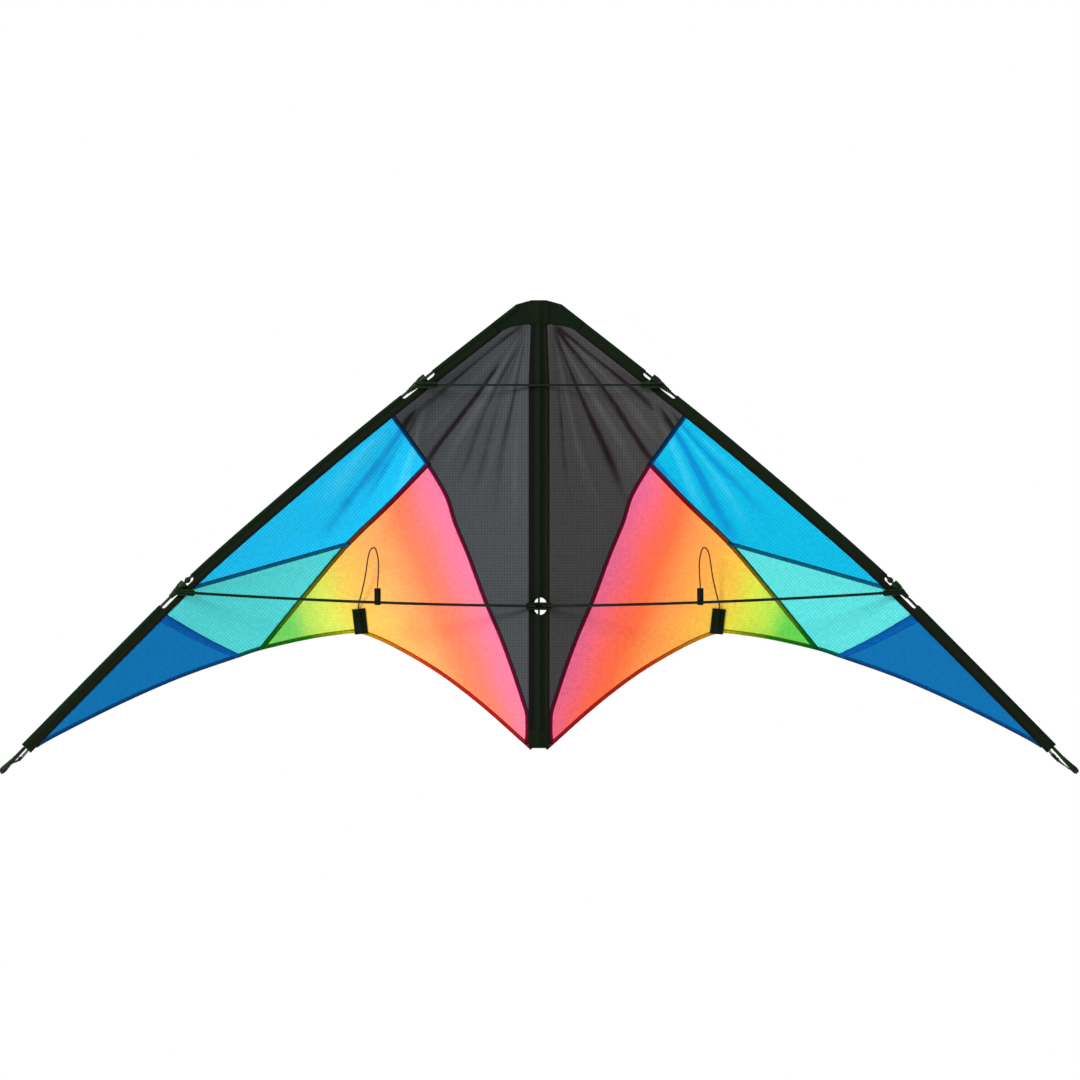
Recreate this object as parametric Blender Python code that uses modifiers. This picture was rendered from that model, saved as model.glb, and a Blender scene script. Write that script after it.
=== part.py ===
"""Two-line delta kite, 1.5 m span, as an assembly of its separate pieces.

Metres, +Z towards the nose, -Y towards the flyer, +X to the right as the flyer sees it.
The origin is on the spine at the middle of the centre tee, where the kite is held.
The right wing is modelled, and the left wing is its mirror image.
"""

import math

import bmesh
import bpy
from mathutils import Matrix, Vector

# Frame rods, radii
SPINE_R = 0.0015
EDGE_ROD_R = 0.0020
LOWER_SPREADER_R = 0.0020
UPPER_SPREADER_R = 0.0015
STANDOFF_R = 0.0010
CORD_R = 0.0007

# Fits
GAP = 0.0003
CLOTH = 0.0005
SAIL_HALF = 0.00025
SEAM_GAP = 0.00015

# Spine
NOSE_Z = 0.4256
TAIL_Z = -0.1975
SPINE_ROD_TOP = 0.4120
SPINE_ROD_BOTTOM = -0.1860
CAP_ON_ROD = 0.0080
CAP_PAST_ROD = 0.0013
SLEEVE_TOP = 0.3905
TAIL_WEBBING_TOP = -0.1720
SLEEVE_HALF_TOP = 0.0111
SLEEVE_HALF = 0.0144
SLEEVE_FULL_WIDTH_Z = 0.3100
WEBBING_HALF = 0.0145
HINGE_X = 0.0150
HINGE_Y = 0.0008

# Leading edge, outer line from the nose shoulder to the end of the sleeve, as (x, z)
LEADING_EDGE = (
    (0.0320, 0.4195),
    (0.1400, 0.3351),
    (0.2600, 0.2390),
    (0.3800, 0.1372),
    (0.4850, 0.0438),
    (0.5900, -0.0606),
    (0.7193, -0.1920),
)
SLEEVE_WIDTH = 0.0174
ROD_INSET = 0.0028
TIP_ROD_INSET = 0.0064
TIP_INSET_START = 0.60
WINDOW_HALF = 0.0295
WINDOW_DEPTH = 0.0092
PATCH_END = 0.0400
TIP_ROD_ANGLE = math.radians(48.5)
TIP_ROD_PAST_SLEEVE = 0.0420
EDGE_ROD_START = 0.0040

# Nose patch, lower border as (x, z)
PATCH_ARC = ((0.0153, 0.3922), (0.0342, 0.3896), (0.0473, 0.3853), (0.0560, 0.3790))

# Spreaders
UPPER_Z = 0.3075
UPPER_Y = -0.0060
LOWER_Y = -0.0065
LOWER_END_Z = 0.0200
LOWER_PIVOT_X = 0.0045
TEE_DIVIDER = 0.0020
TEE_HALF = 0.0171
TEE_HEIGHT = 0.0090
TEE_HOLE_SHIFT = 0.0020
TEE_HOLE_HALF_WIDTH = 0.0093
TEE_HOLE_HALF_HEIGHT = 0.0120
TEE_BARREL_R = 0.0044
ARM_FRONT = -0.0092
ARM_BACK = -0.0026
ARM_INBOARD = 0.0240
ARM_OUTBOARD = 0.0050
ARM_HEIGHT = 0.0086
BARREL_R = 0.0052
BARREL_END_R = 0.0042
BARREL_LENGTH = 0.0270
SEAT_END = 0.0008
SPREADER_SHORT = 0.0015
STOPPER_R = 0.0040
STOPPER_LENGTH = 0.0036
STOPPER_AWAY = 0.0185

# Wing tip nock and tension cord, measured from where the rod leaves its sleeve
NOCK_START = 0.0235
NOCK_LENGTH = 0.0265
NOCK_START_R = 0.0029
NOCK_END_R = 0.0036
NOCK_SLOT_DEPTH = 0.0060
NOCK_SLOT_HALF = 0.0011
KNOT_R = 0.0023
KNOT_AWAY = 0.0165
KNOT_ACROSS = 0.0054
CORD_TURN = 0.0474

# Tension cord along the front of the nock, as (away from the sleeve, across towards the sail, depth)
CORD_FRONT = (
    (0.0008, 0.0068, -0.0012),
    (0.0100, 0.0058, -0.0014),
    (0.0190, 0.0048, -0.0022),
    (0.0300, 0.0026, -0.0036),
    (0.0400, 0.0006, -0.0047),
    (0.0450, 0.0000, -0.0044),
    (0.0471, 0.0000, -0.0024),
)

# Sail: seams and borders of the panels, as (x, z)
EDGE_CHARCOAL_BLUE_Z = 0.2630
JUNCTION = (0.1551, 0.1978)
EDGE_BLUE_TURQUOISE_Z = 0.0267
EDGE_TURQUOISE_TIP_Z = -0.0139
FAN_INNER_SEAM = (
    JUNCTION,
    (0.1278, 0.1522),
    (0.1189, 0.1200),
    (0.0978, 0.0700),
    (0.0756, 0.0089),
    (0.0556, -0.0367),
    (0.0362, -0.0889),
    (0.0150, -0.1540),
)
FAN_CORNER = (0.2671, 0.0862)
FAN_TIP = (0.3900, -0.0624)
FAN_OUTER_SEAM = (JUNCTION, (0.2110, 0.1400), FAN_CORNER, (0.3311, 0.0100), FAN_TIP)
TIP_CORNER = (0.4162, -0.0712)
TIP_SEAM_MIDDLE = (0.4640, -0.0470)
TIP_PANEL_SHORT = 0.0120
TRAILING_INNER = (
    (0.0147, -0.1975),
    (0.0800, -0.1399),
    (0.1400, -0.0946),
    (0.2000, -0.0594),
    (0.2370, -0.0425),
    (0.2540, -0.0372),
)
TRAILING_OUTER = (
    (0.2540, -0.0372),
    (0.3200, -0.0464),
    FAN_TIP,
    TIP_CORNER,
    (0.5000, -0.1005),
    (0.5900, -0.1403),
    (0.6800, -0.1860),
    (0.6984, -0.1976),
)
BILLOW = 0.0750
BILLOW_TOP_Z = 0.3920
BILLOW_FULL_Z = -0.0300
SAIL_GRID = 0.0250
SAIL_COLUMNS = 29
SAIL_ROWS = 25
SAIL_CORNER = (0.0080, -0.2150)

# Standoffs
STANDOFF_X = 0.2244
CLIP_R = 0.0045
CLIP_BOTTOM = 0.0015
CLIP_TOP = 0.0251
CLIP_Y = -0.0050
POCKET_CENTRE = (0.2497, -0.0215)
POCKET_WIDTH = 0.0185
POCKET_LENGTH = 0.0358
POCKET_THICKNESS = 0.0040
POCKET_TILT = math.radians(6.5)
POCKET_BACK = SAIL_HALF + 0.0007
POCKET_AXIS = POCKET_BACK + POCKET_THICKNESS / 2
POCKET_BORE_BOTTOM = -POCKET_LENGTH / 2 + 0.0050
STANDOFF_ROUTE = (
    (0.2244, -0.0050, 0.0130),
    (0.2244, -0.0050, 0.0260),
    (0.2230, -0.0010, 0.0560),
    (0.2255, 0.0080, 0.0745),
    (0.2300, 0.0220, 0.0815),
    (0.2370, 0.0370, 0.0730),
    (0.2430, 0.0510, 0.0370),
)


# ---------------------------------------------------------------- outlines


def smooth(points, steps):
    """A Catmull-Rom curve through the points, with that many steps from each to the next."""
    points = [Vector(p) for p in points]
    padded = [2 * points[0] - points[1]] + points + [2 * points[-1] - points[-2]]
    curve = []
    for i in range(1, len(padded) - 2):
        a, b, c, d = padded[i - 1 : i + 3]
        for step in range(steps):
            t = step / steps
            curve.append(
                0.5
                * (
                    2 * b
                    + (c - a) * t
                    + (2 * a - 5 * b + 4 * c - d) * t**2
                    + (3 * b - a - 3 * c + d) * t**3
                )
            )
    return curve + [points[-1]]


def lengths(path):
    """Distance along the path of each of its points."""
    found = [0.0]
    for a, b in zip(path, path[1:]):
        found.append(found[-1] + (b - a).length)
    return found


def point_at(path, distance):
    """Point and direction that far along the path, going straight on past its ends."""
    marks = lengths(path)
    i = 0
    while i < len(path) - 2 and marks[i + 1] < distance:
        i += 1
    along = (path[i + 1] - path[i]).normalized()
    return path[i] + along * (distance - marks[i]), along


def stretch(path, start, end):
    """The path from one distance along it to another."""
    inner = [p for p, mark in zip(path, lengths(path)) if start + 1e-6 < mark < end - 1e-6]
    return [point_at(path, start)[0]] + inner + [point_at(path, end)[0]]


def at_height(path, z):
    """Distance along a falling path where it passes the height z."""
    marks = lengths(path)
    for i, (a, b) in enumerate(zip(path, path[1:])):
        if a.y >= z >= b.y:
            return marks[i] + (a.y - z) / (a.y - b.y) * (marks[i + 1] - marks[i])
    return marks[-1]


def inward(along):
    """Unit normal of a wing outline, pointing from the leading edge into the sail."""
    return Vector((along.y, -along.x)) if along.y < 0 else Vector((-along.y, along.x))


def inset_path(path, inset):
    """The path moved towards the sail, by a distance given for each share of its length."""
    total = lengths(path)[-1]
    moved = []
    for mark in lengths(path):
        point, along = point_at(path, mark)
        moved.append(point + inward(along) * inset(mark / total))
    return moved


def shrink(outline, gap):
    """A closed outline with every side moved in by the gap."""
    area = sum(a.x * b.y - b.x * a.y for a, b in zip(outline, outline[1:] + outline[:1]))
    turn = 1 if area > 0 else -1
    moved = []
    for i, point in enumerate(outline):
        before = (point - outline[i - 1]).normalized()
        after = (outline[(i + 1) % len(outline)] - point).normalized()
        normal = Vector((-before.y - after.y, before.x + after.x)) * turn
        normal = normal.normalized()
        cosine = max(0.3, normal.dot(Vector((-before.y, before.x)) * turn))
        moved.append(point + normal * gap / cosine)
    return moved


def joined(*paths):
    """One closed outline from paths that meet end to end, without repeated points."""
    outline = []
    for path in paths:
        for point in path:
            point = Vector(point)
            if not outline or (point - outline[-1]).length > 1e-5:
                outline.append(point)
    if (outline[0] - outline[-1]).length < 1e-5:
        outline.pop()
    return outline


def rod_inset(share):
    """The rod lies in the fold of its sleeve, and nearer its middle at the wing tip."""
    t = min(1.0, max(0.0, (share - TIP_INSET_START) / (1 - TIP_INSET_START)))
    return ROD_INSET + (TIP_ROD_INSET - ROD_INSET) * t * t * (3 - 2 * t)


EDGE = smooth(LEADING_EDGE, 5)
EDGE_LENGTH = lengths(EDGE)[-1]
SLEEVE_INNER = inset_path(EDGE, lambda share: SLEEVE_WIDTH)
ROD_LINE = inset_path(EDGE, rod_inset)
TIP_DIRECTION = Vector((math.cos(TIP_ROD_ANGLE), -math.sin(TIP_ROD_ANGLE)))
SLEEVE_EXIT = ROD_LINE[-1].copy()
ROD_LINE = ROD_LINE + [SLEEVE_EXIT + TIP_DIRECTION * TIP_ROD_PAST_SLEEVE]
SLEEVE_EXIT_MARK = lengths(ROD_LINE)[-2]
UPPER_MARK = at_height(ROD_LINE, UPPER_Z)
LOWER_MARK = at_height(ROD_LINE, LOWER_END_Z)
UPPER_HOLD = point_at(ROD_LINE, UPPER_MARK)[0]
LOWER_HOLD = point_at(ROD_LINE, LOWER_MARK)[0]


def in_space(point, y=0.0):
    return Vector((point.x, y, point.y))


def spine_edge_x(z):
    """Half width of the spine sleeve at a height."""
    share = (SLEEVE_TOP - z) / (SLEEVE_TOP - SLEEVE_FULL_WIDTH_Z)
    share = min(1.0, max(0.0, share))
    return SLEEVE_HALF_TOP + (SLEEVE_HALF - SLEEVE_HALF_TOP) * share


def sail_depth(x, z):
    """How far the sail stands behind the frame: none at the nose, the spine and the leading edge."""
    edge, _ = point_at(SLEEVE_INNER, at_height(SLEEVE_INNER, min(z, SLEEVE_INNER[0].y)))
    inner = spine_edge_x(z)
    share = min(1.0, max(0.0, (x - inner) / (edge.x - inner)))
    fullness = max(0.0, BILLOW_TOP_Z - z) / (BILLOW_TOP_Z - BILLOW_FULL_Z)
    return BILLOW * fullness * math.sin(math.pi * share)


def lower_spreader_z(x):
    """The lower spreaders rise towards the leading edge and bow slightly under load."""
    share = x / LOWER_HOLD.x
    return LOWER_END_Z * (0.25 * share + 0.75 * share * share)


# ---------------------------------------------------------------- scene and materials

for old in list(bpy.data.objects):
    bpy.data.objects.remove(old, do_unlink=True)

KITE = bpy.data.collections.new("delta_kite")
CUTTERS = bpy.data.collections.new("cutters")
bpy.context.scene.collection.children.link(KITE)
bpy.context.scene.collection.children.link(CUTTERS)


def material(name, colour, roughness, metallic=0.0):
    made = bpy.data.materials.new(name)
    made.use_nodes = True
    made.diffuse_color = (*colour, 1.0)
    shader = made.node_tree.nodes["Principled BSDF"]
    shader.inputs["Base Color"].default_value = (*colour, 1.0)
    shader.inputs["Roughness"].default_value = roughness
    shader.inputs["Metallic"].default_value = metallic
    return made


DACRON = material("black_dacron", (0.008, 0.010, 0.008), 0.75)
WEBBING = material("black_webbing", (0.009, 0.010, 0.008), 0.85)
FIBREGLASS = material("black_fibreglass", (0.010, 0.012, 0.010), 0.35)
MOULDED = material("black_moulded", (0.012, 0.015, 0.012), 0.50)
VINYL = material("black_vinyl", (0.014, 0.014, 0.014), 0.45)
CORD = material("black_cord", (0.010, 0.010, 0.010), 0.80)
CHARCOAL = material("charcoal_ripstop", (0.070, 0.073, 0.078), 0.60)
BLUE = material("blue_ripstop", (0.007, 0.430, 0.830), 0.50)
TURQUOISE = material("turquoise_ripstop", (0.070, 0.680, 0.720), 0.50)
TIP_BLUE = material("tip_blue_ripstop", (0.002, 0.150, 0.430), 0.50)
FAN = material("fan_ripstop", (1.000, 0.330, 0.130), 0.50)


# ---------------------------------------------------------------- building tools


def mesh_object(name, mesh, finish=None, collection=None):
    made = bpy.data.objects.new(name, mesh)
    (collection or KITE).objects.link(made)
    if finish:
        mesh.materials.clear()
        mesh.materials.append(finish)
    return made


def from_curve(name, curve, matrix, finish):
    """The solid of a curve as a mesh with its caps joined on, in world coordinates."""
    guide = bpy.data.objects.new(name + "_guide", curve)
    CUTTERS.objects.link(guide)
    bpy.context.view_layer.update()
    graph = bpy.context.evaluated_depsgraph_get()
    mesh = bpy.data.meshes.new_from_object(guide.evaluated_get(graph))
    bpy.data.objects.remove(guide)
    mesh.transform(matrix)
    solid = bmesh.new()
    solid.from_mesh(mesh)
    bmesh.ops.remove_doubles(solid, verts=solid.verts, dist=1e-6)
    bmesh.ops.recalc_face_normals(solid, faces=solid.faces)
    solid.to_mesh(mesh)
    solid.free()
    mesh.name = name
    return mesh_object(name, mesh, finish)


def tube(name, points, radius, finish=None, resolution=4):
    """A round rod or cord through the points."""
    curve = bpy.data.curves.new(name + "_curve", "CURVE")
    curve.dimensions = "3D"
    curve.bevel_depth = radius
    curve.bevel_resolution = resolution
    curve.use_fill_caps = True
    spline = curve.splines.new("POLY")
    spline.points.add(len(points) - 1)
    for target, point in zip(spline.points, points):
        target.co = (*point, 1.0)
    made = from_curve(name, curve, Matrix(), finish)
    made.data.shade_smooth()
    made.data.set_sharp_from_angle(angle=math.radians(50))
    return made


def prism(name, outline, half, matrix, finish=None):
    """A flat outline in local X and Y, as a solid half that thick each way along local Z."""
    curve = bpy.data.curves.new(name + "_curve", "CURVE")
    curve.dimensions = "2D"
    curve.fill_mode = "BOTH"
    curve.extrude = half
    spline = curve.splines.new("POLY")
    spline.points.add(len(outline) - 1)
    for target, point in zip(spline.points, outline):
        target.co = (point[0], point[1], 0.0, 1.0)
    spline.use_cyclic_u = True
    return from_curve(name, curve, matrix, finish)


def plate(name, outline, low_y, high_y, finish=None):
    """A flat outline in the XZ plane, as a solid from low_y to high_y."""
    middle = Matrix.Translation((0, (low_y + high_y) / 2, 0))
    upright = Matrix.Rotation(math.pi / 2, 4, "X")
    return prism(name, outline, (high_y - low_y) / 2, middle @ upright, finish)


def from_bmesh(name, solid, matrix, finish):
    mesh = bpy.data.meshes.new(name)
    bmesh.ops.transform(solid, matrix=matrix, verts=solid.verts)
    bmesh.ops.recalc_face_normals(solid, faces=solid.faces)
    solid.to_mesh(mesh)
    solid.free()
    return mesh_object(name, mesh, finish)


def cylinder(name, start, end, radius, finish=None, end_radius=None, sides=24):
    """A cylinder or cone between two points."""
    start = Vector(start)
    end = Vector(end)
    solid = bmesh.new()
    bmesh.ops.create_cone(
        solid,
        cap_ends=True,
        segments=sides,
        radius1=radius,
        radius2=radius if end_radius is None else end_radius,
        depth=(end - start).length,
    )
    turn = (end - start).to_track_quat("Z", "Y").to_matrix().to_4x4()
    made = from_bmesh(name, solid, Matrix.Translation((start + end) / 2) @ turn, finish)
    made.data.shade_smooth()
    made.data.set_sharp_from_angle(angle=math.radians(40))
    return made


def block(name, low, high, finish=None, matrix=None):
    """A box between two corners, then placed by the matrix."""
    low = Vector(low)
    high = Vector(high)
    solid = bmesh.new()
    bmesh.ops.create_cube(solid, size=1.0)
    size = Matrix.Diagonal((*(high - low), 1.0))
    place = Matrix.Translation((low + high) / 2) @ size
    return from_bmesh(name, solid, (matrix or Matrix()) @ place, finish)


def combine(target, tool, operation, solver):
    """A Boolean with a hidden tool object."""
    step = target.modifiers.new(tool.name, "BOOLEAN")
    step.object = tool
    step.operation = operation
    step.solver = solver
    KITE.objects.unlink(tool)
    CUTTERS.objects.link(tool)
    tool.hide_render = True
    tool.display_type = "WIRE"


def add(target, tool, solver="EXACT"):
    combine(target, tool, "UNION", solver)


def cut(target, tool, solver="EXACT"):
    combine(target, tool, "DIFFERENCE", solver)


def bevel(target, width, segments=2):
    step = target.modifiers.new("edges", "BEVEL")
    step.width = width
    step.segments = segments
    step.limit_method = "ANGLE"
    step.angle_limit = math.radians(50)
    return target


def rod_points(start, end, y=0.0):
    return [in_space(p, y) for p in stretch(ROD_LINE, start, end)]


# ---------------------------------------------------------------- spine


def spine_rod():
    ends = [(0, 0, SPINE_ROD_BOTTOM), (0, 0, SPINE_ROD_TOP)]
    return tube("spine_rod", ends, SPINE_R, FIBREGLASS)


def end_cap(name, tip, away, rod_radius):
    """A vinyl cup pushed over a rod end: tip is the rod's end, away points off the rod."""
    outer = rod_radius + GAP + CLOTH
    away = Vector(away)
    tip = Vector(tip)
    cup = cylinder(name, tip - away * CAP_ON_ROD, tip + away * CAP_PAST_ROD, outer, VINYL)
    mouth = tip - away * (CAP_ON_ROD + 0.002)
    bore = cylinder(name + "_bore", mouth, tip + away * GAP, rod_radius + GAP)
    cut(cup, bore)
    return cup


def spine_sleeve():
    """A flat folded band with a tube for the rod, and a hole round the centre tee."""
    right = [
        Vector((SLEEVE_HALF, TAIL_WEBBING_TOP + GAP)),
        Vector((SLEEVE_HALF, SLEEVE_FULL_WIDTH_Z)),
        Vector((SLEEVE_HALF_TOP, SLEEVE_TOP)),
    ]
    left = [Vector((-p.x, p.y)) for p in reversed(right)]
    sleeve = plate("spine_sleeve", right + left, -CLOTH, CLOTH, DACRON)
    low = TAIL_WEBBING_TOP + GAP
    channel = SPINE_R + GAP
    tunnel = cylinder("spine_tunnel", (0, 0, low), (0, 0, SLEEVE_TOP), channel + CLOTH)
    bore = cylinder("spine_tunnel_bore", (0, 0, low - 0.01), (0, 0, SLEEVE_TOP + 0.01), channel)
    hole = cylinder("tee_hole", (0, -0.01, 0), (0, 0.01, 0), 1.0, sides=32)
    shape = Matrix.Diagonal((TEE_HOLE_HALF_WIDTH, 1.0, TEE_HOLE_HALF_HEIGHT, 1.0))
    hole.data.transform(Matrix.Translation((TEE_HOLE_SHIFT, 0, 0)) @ shape)
    add(sleeve, tunnel)
    cut(sleeve, bore)
    cut(sleeve, hole)
    return sleeve


def webbing_end(name, low, high, closed_above):
    """Folded webbing that closes one end of the spine sleeve round the rod's cap."""
    corner = 0.0025 if closed_above else 0.0008
    top_corner = 0.0015 if closed_above else 0.0
    right = [
        (WEBBING_HALF - 1.6 * corner, low),
        (WEBBING_HALF, low + corner),
        (WEBBING_HALF, high - top_corner),
        (WEBBING_HALF - 2 * top_corner, high),
    ]
    right = joined(right)
    left = [(-x, z) for x, z in reversed(right)]
    piece = plate(name, right + left, -CLOTH, CLOTH, WEBBING)
    room = SPINE_R + 2 * GAP + CLOTH
    inset = 0.0010
    tunnel = cylinder(name + "_tunnel", (0, 0, low + inset), (0, 0, high - inset), room + CLOTH)
    bore_low = low - 0.01 if closed_above else SPINE_ROD_BOTTOM - 0.0020
    bore_high = SPINE_ROD_TOP + 0.0020 if closed_above else high + 0.01
    bore = cylinder(name + "_bore", (0, 0, bore_low), (0, 0, bore_high), room)
    add(piece, tunnel)
    cut(piece, bore)
    return piece


def channel_cutter(name, start, end, radius):
    """Cutter for a rod's seat that is open to the front: round at the back, straight to the front."""
    start = Vector(start)
    end = Vector(end)
    along = (end - start).normalized()
    front = Vector((0, -1, 0))
    turn = Matrix((front, along.cross(front), along)).transposed().to_4x4()
    steps = 10
    bends = [math.pi / 2 + math.pi * i / steps for i in range(steps + 1)]
    outline = [(radius * math.cos(a), radius * math.sin(a)) for a in bends]
    outline += [(0.02, -radius), (0.02, radius)]
    middle = Matrix.Translation((start + end) / 2)
    return prism(name, outline, (end - start).length / 2, middle @ turn)


def centre_tee():
    """Moulded tee on the spine, with an open seat each side for a lower spreader."""
    half = TEE_HEIGHT / 2
    tee = block("centre_tee", (-TEE_HALF, ARM_FRONT, -half), (TEE_HALF, ARM_BACK, half), MOULDED)
    bevel(tee, 0.0010)
    barrel = cylinder("tee_barrel", (0, 0, -half - 0.0002), (0, 0, half + 0.0002), TEE_BARREL_R)
    bore = cylinder("tee_bore", (0, 0, -0.01), (0, 0, 0.01), SPINE_R + GAP)
    add(tee, barrel)
    cut(tee, bore)
    radius = LOWER_SPREADER_R + GAP
    for side in (1, -1):
        ends = [(side * TEE_DIVIDER, LOWER_Y, 0), (side * 0.03, LOWER_Y, lower_spreader_z(0.02))]
        cut(tee, channel_cutter(f"tee_seat_{side}", *ends, radius))
    return tee


# ---------------------------------------------------------------- spreaders


def upper_spreader():
    reach = UPPER_HOLD.x - SPREADER_SHORT
    ends = [(-reach, UPPER_Y, UPPER_Z), (reach, UPPER_Y, UPPER_Z)]
    return tube("upper_spreader", ends, UPPER_SPREADER_R, FIBREGLASS)


def lower_spreader():
    start = LOWER_PIVOT_X
    end = LOWER_HOLD.x - SPREADER_SHORT
    steps = 12
    points = []
    for i in range(steps + 1):
        x = start + (end - start) * i / steps
        points.append((x, LOWER_Y, lower_spreader_z(x)))
    return tube("lower_spreader_right", points, LOWER_SPREADER_R, FIBREGLASS)


# ---------------------------------------------------------------- leading edge


def leading_edge_rod():
    points = rod_points(EDGE_ROD_START, lengths(ROD_LINE)[-1])
    return tube("leading_edge_rod_right", points, EDGE_ROD_R, FIBREGLASS)


def leading_edge_cap():
    tip, along = point_at(ROD_LINE, EDGE_ROD_START)
    return end_cap("leading_edge_cap_right", in_space(tip), -in_space(along), EDGE_ROD_R)


def window(name, mark):
    """Cutter for the opening in the sleeve round a connector, out from the sleeve's inner half."""
    centre, along = point_at(EDGE, mark)
    normal = inward(along)
    turn = Matrix((in_space(along), in_space(normal), Vector((0, 1, 0)))).transposed().to_4x4()
    place = Matrix.Translation(in_space(centre)) @ turn
    return block(name, (-WINDOW_HALF, -0.02, -0.01), (WINDOW_HALF, WINDOW_DEPTH, 0.01), matrix=place)


def leading_edge_sleeve():
    """Folded band of dacron with the rod in its outer fold and a window round each connector."""
    name = "leading_edge_sleeve_right"
    outer = stretch(inset_path(EDGE, lambda share: CLOTH / 2), PATCH_END + GAP, EDGE_LENGTH)
    inner = stretch(SLEEVE_INNER, PATCH_END + GAP, lengths(SLEEVE_INNER)[-1])
    sleeve = plate(name, outer + inner[::-1], -CLOTH, CLOTH, DACRON)
    room = EDGE_ROD_R + GAP
    start = PATCH_END + 2 * GAP
    covered = rod_points(start, SLEEVE_EXIT_MARK - 0.0002)
    tunnel = tube(name + "_tunnel", covered, room + CLOTH, resolution=2)
    whole = rod_points(start - 0.02, SLEEVE_EXIT_MARK + 0.01)
    bore = tube(name + "_bore", whole, room, resolution=2)
    add(sleeve, tunnel, "MANIFOLD")
    cut(sleeve, bore, "MANIFOLD")
    cut(sleeve, window(name + "_upper_window", at_height(EDGE, UPPER_Z)), "MANIFOLD")
    cut(sleeve, window(name + "_lower_window", at_height(EDGE, LOWER_END_Z)), "MANIFOLD")
    return sleeve


def nose_patch():
    """Webbing that closes the leading edge sleeve over the rod's end at the nose."""
    name = "nose_patch_right"
    edge = stretch(EDGE, 0.0, PATCH_END)
    corner = point_at(SLEEVE_INNER, PATCH_END)[0]
    arc = smooth(PATCH_ARC, 3)
    arc = [p for p in arc if p.x < corner.x - 0.001]
    inner_x = HINGE_X + 0.0004
    top = [Vector((inner_x, 0.4243))]
    bottom = [Vector((max(p.x, inner_x), p.y)) for p in arc]
    patch = plate(name, joined(top, edge, [corner], bottom[::-1]), -CLOTH, CLOTH, WEBBING)
    room = EDGE_ROD_R + 2 * GAP + CLOTH
    tunnel = tube(name + "_tunnel", rod_points(0.0008, PATCH_END - 0.0002), room + CLOTH)
    bore = tube(name + "_bore", rod_points(0.0022, PATCH_END + 0.01), room)
    add(patch, tunnel)
    cut(patch, bore)
    return patch


def connector(name, mark, height, spreader_y, spreader_radius, slope):
    """Moulded fitting on the leading edge rod, with a seat open to the front for a spreader."""
    hold, _ = point_at(ROD_LINE, mark)
    turn = Matrix.Rotation(-slope, 4, "Y")
    place = Matrix.Translation((hold.x, 0, height)) @ turn
    half = ARM_HEIGHT / 2
    low = (-ARM_INBOARD, ARM_FRONT, -half)
    arm = block(name, low, (ARM_OUTBOARD, ARM_BACK, half), MOULDED, place)
    bevel(arm, 0.0010)
    start = in_space(point_at(ROD_LINE, mark - BARREL_LENGTH / 2)[0])
    end = in_space(point_at(ROD_LINE, mark + BARREL_LENGTH / 2)[0])
    barrel = cylinder(name + "_barrel", start, end, BARREL_R, end_radius=BARREL_END_R)
    reach = rod_points(mark - 0.03, mark + 0.03)
    bore = tube(name + "_bore", reach, EDGE_ROD_R + GAP)
    add(arm, barrel)
    cut(arm, bore)
    inner_end = place @ Vector((-0.04, spreader_y, 0))
    outer_end = place @ Vector((-SEAT_END, spreader_y, 0))
    cut(arm, channel_cutter(name + "_seat", outer_end, inner_end, spreader_radius + GAP))
    return arm


def upper_connector():
    return connector("upper_connector_right", UPPER_MARK, UPPER_Z, UPPER_Y, UPPER_SPREADER_R, 0.0)


def lower_connector():
    x = LOWER_HOLD.x
    slope = math.atan2(lower_spreader_z(x) - lower_spreader_z(x - 0.02), 0.02)
    name = "lower_connector_right"
    return connector(name, LOWER_MARK, LOWER_END_Z, LOWER_Y, LOWER_SPREADER_R, slope)


def stopper(name, mark):
    """A short collar gripping the rod, which keeps a connector in its place."""
    start, _ = point_at(ROD_LINE, mark - STOPPER_LENGTH / 2)
    end, _ = point_at(ROD_LINE, mark + STOPPER_LENGTH / 2)
    collar = cylinder(name, in_space(start), in_space(end), STOPPER_R, MOULDED)
    bevel(collar, 0.0008)
    cut(collar, tube(name + "_bore", rod_points(mark - 0.01, mark + 0.01), EDGE_ROD_R + GAP))
    return collar


# ---------------------------------------------------------------- wing tip


def tip_point(away, across, y):
    """A point by its distance past the sleeve along the rod, across towards the sail, and depth."""
    flat = SLEEVE_EXIT + TIP_DIRECTION * away + inward(TIP_DIRECTION) * across
    return in_space(flat, y)


def tip_nock():
    """Moulded nock on the rod's end, forked for the tension cord."""
    name = "tip_nock_right"
    end = NOCK_START + NOCK_LENGTH
    root = tip_point(NOCK_START, 0, 0)
    nock = cylinder(name, root, tip_point(end, 0, 0), NOCK_START_R, MOULDED, NOCK_END_R)
    bevel(nock, 0.0006)
    seat_end = tip_point(TIP_ROD_PAST_SLEEVE + GAP, 0, 0)
    seat = cylinder(name + "_seat", tip_point(NOCK_START - 0.01, 0, 0), seat_end, EDGE_ROD_R + GAP)
    turn = Matrix((in_space(TIP_DIRECTION), in_space(inward(TIP_DIRECTION)), Vector((0, 1, 0))))
    place = Matrix.Translation(tip_point(end - NOCK_SLOT_DEPTH, 0, 0)) @ turn.transposed().to_4x4()
    low = (0, -NOCK_SLOT_HALF, -0.01)
    slot = block(name + "_slot", low, (0.02, NOCK_SLOT_HALF, 0.01), matrix=place)
    cut(nock, seat)
    cut(nock, slot)
    return nock


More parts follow.
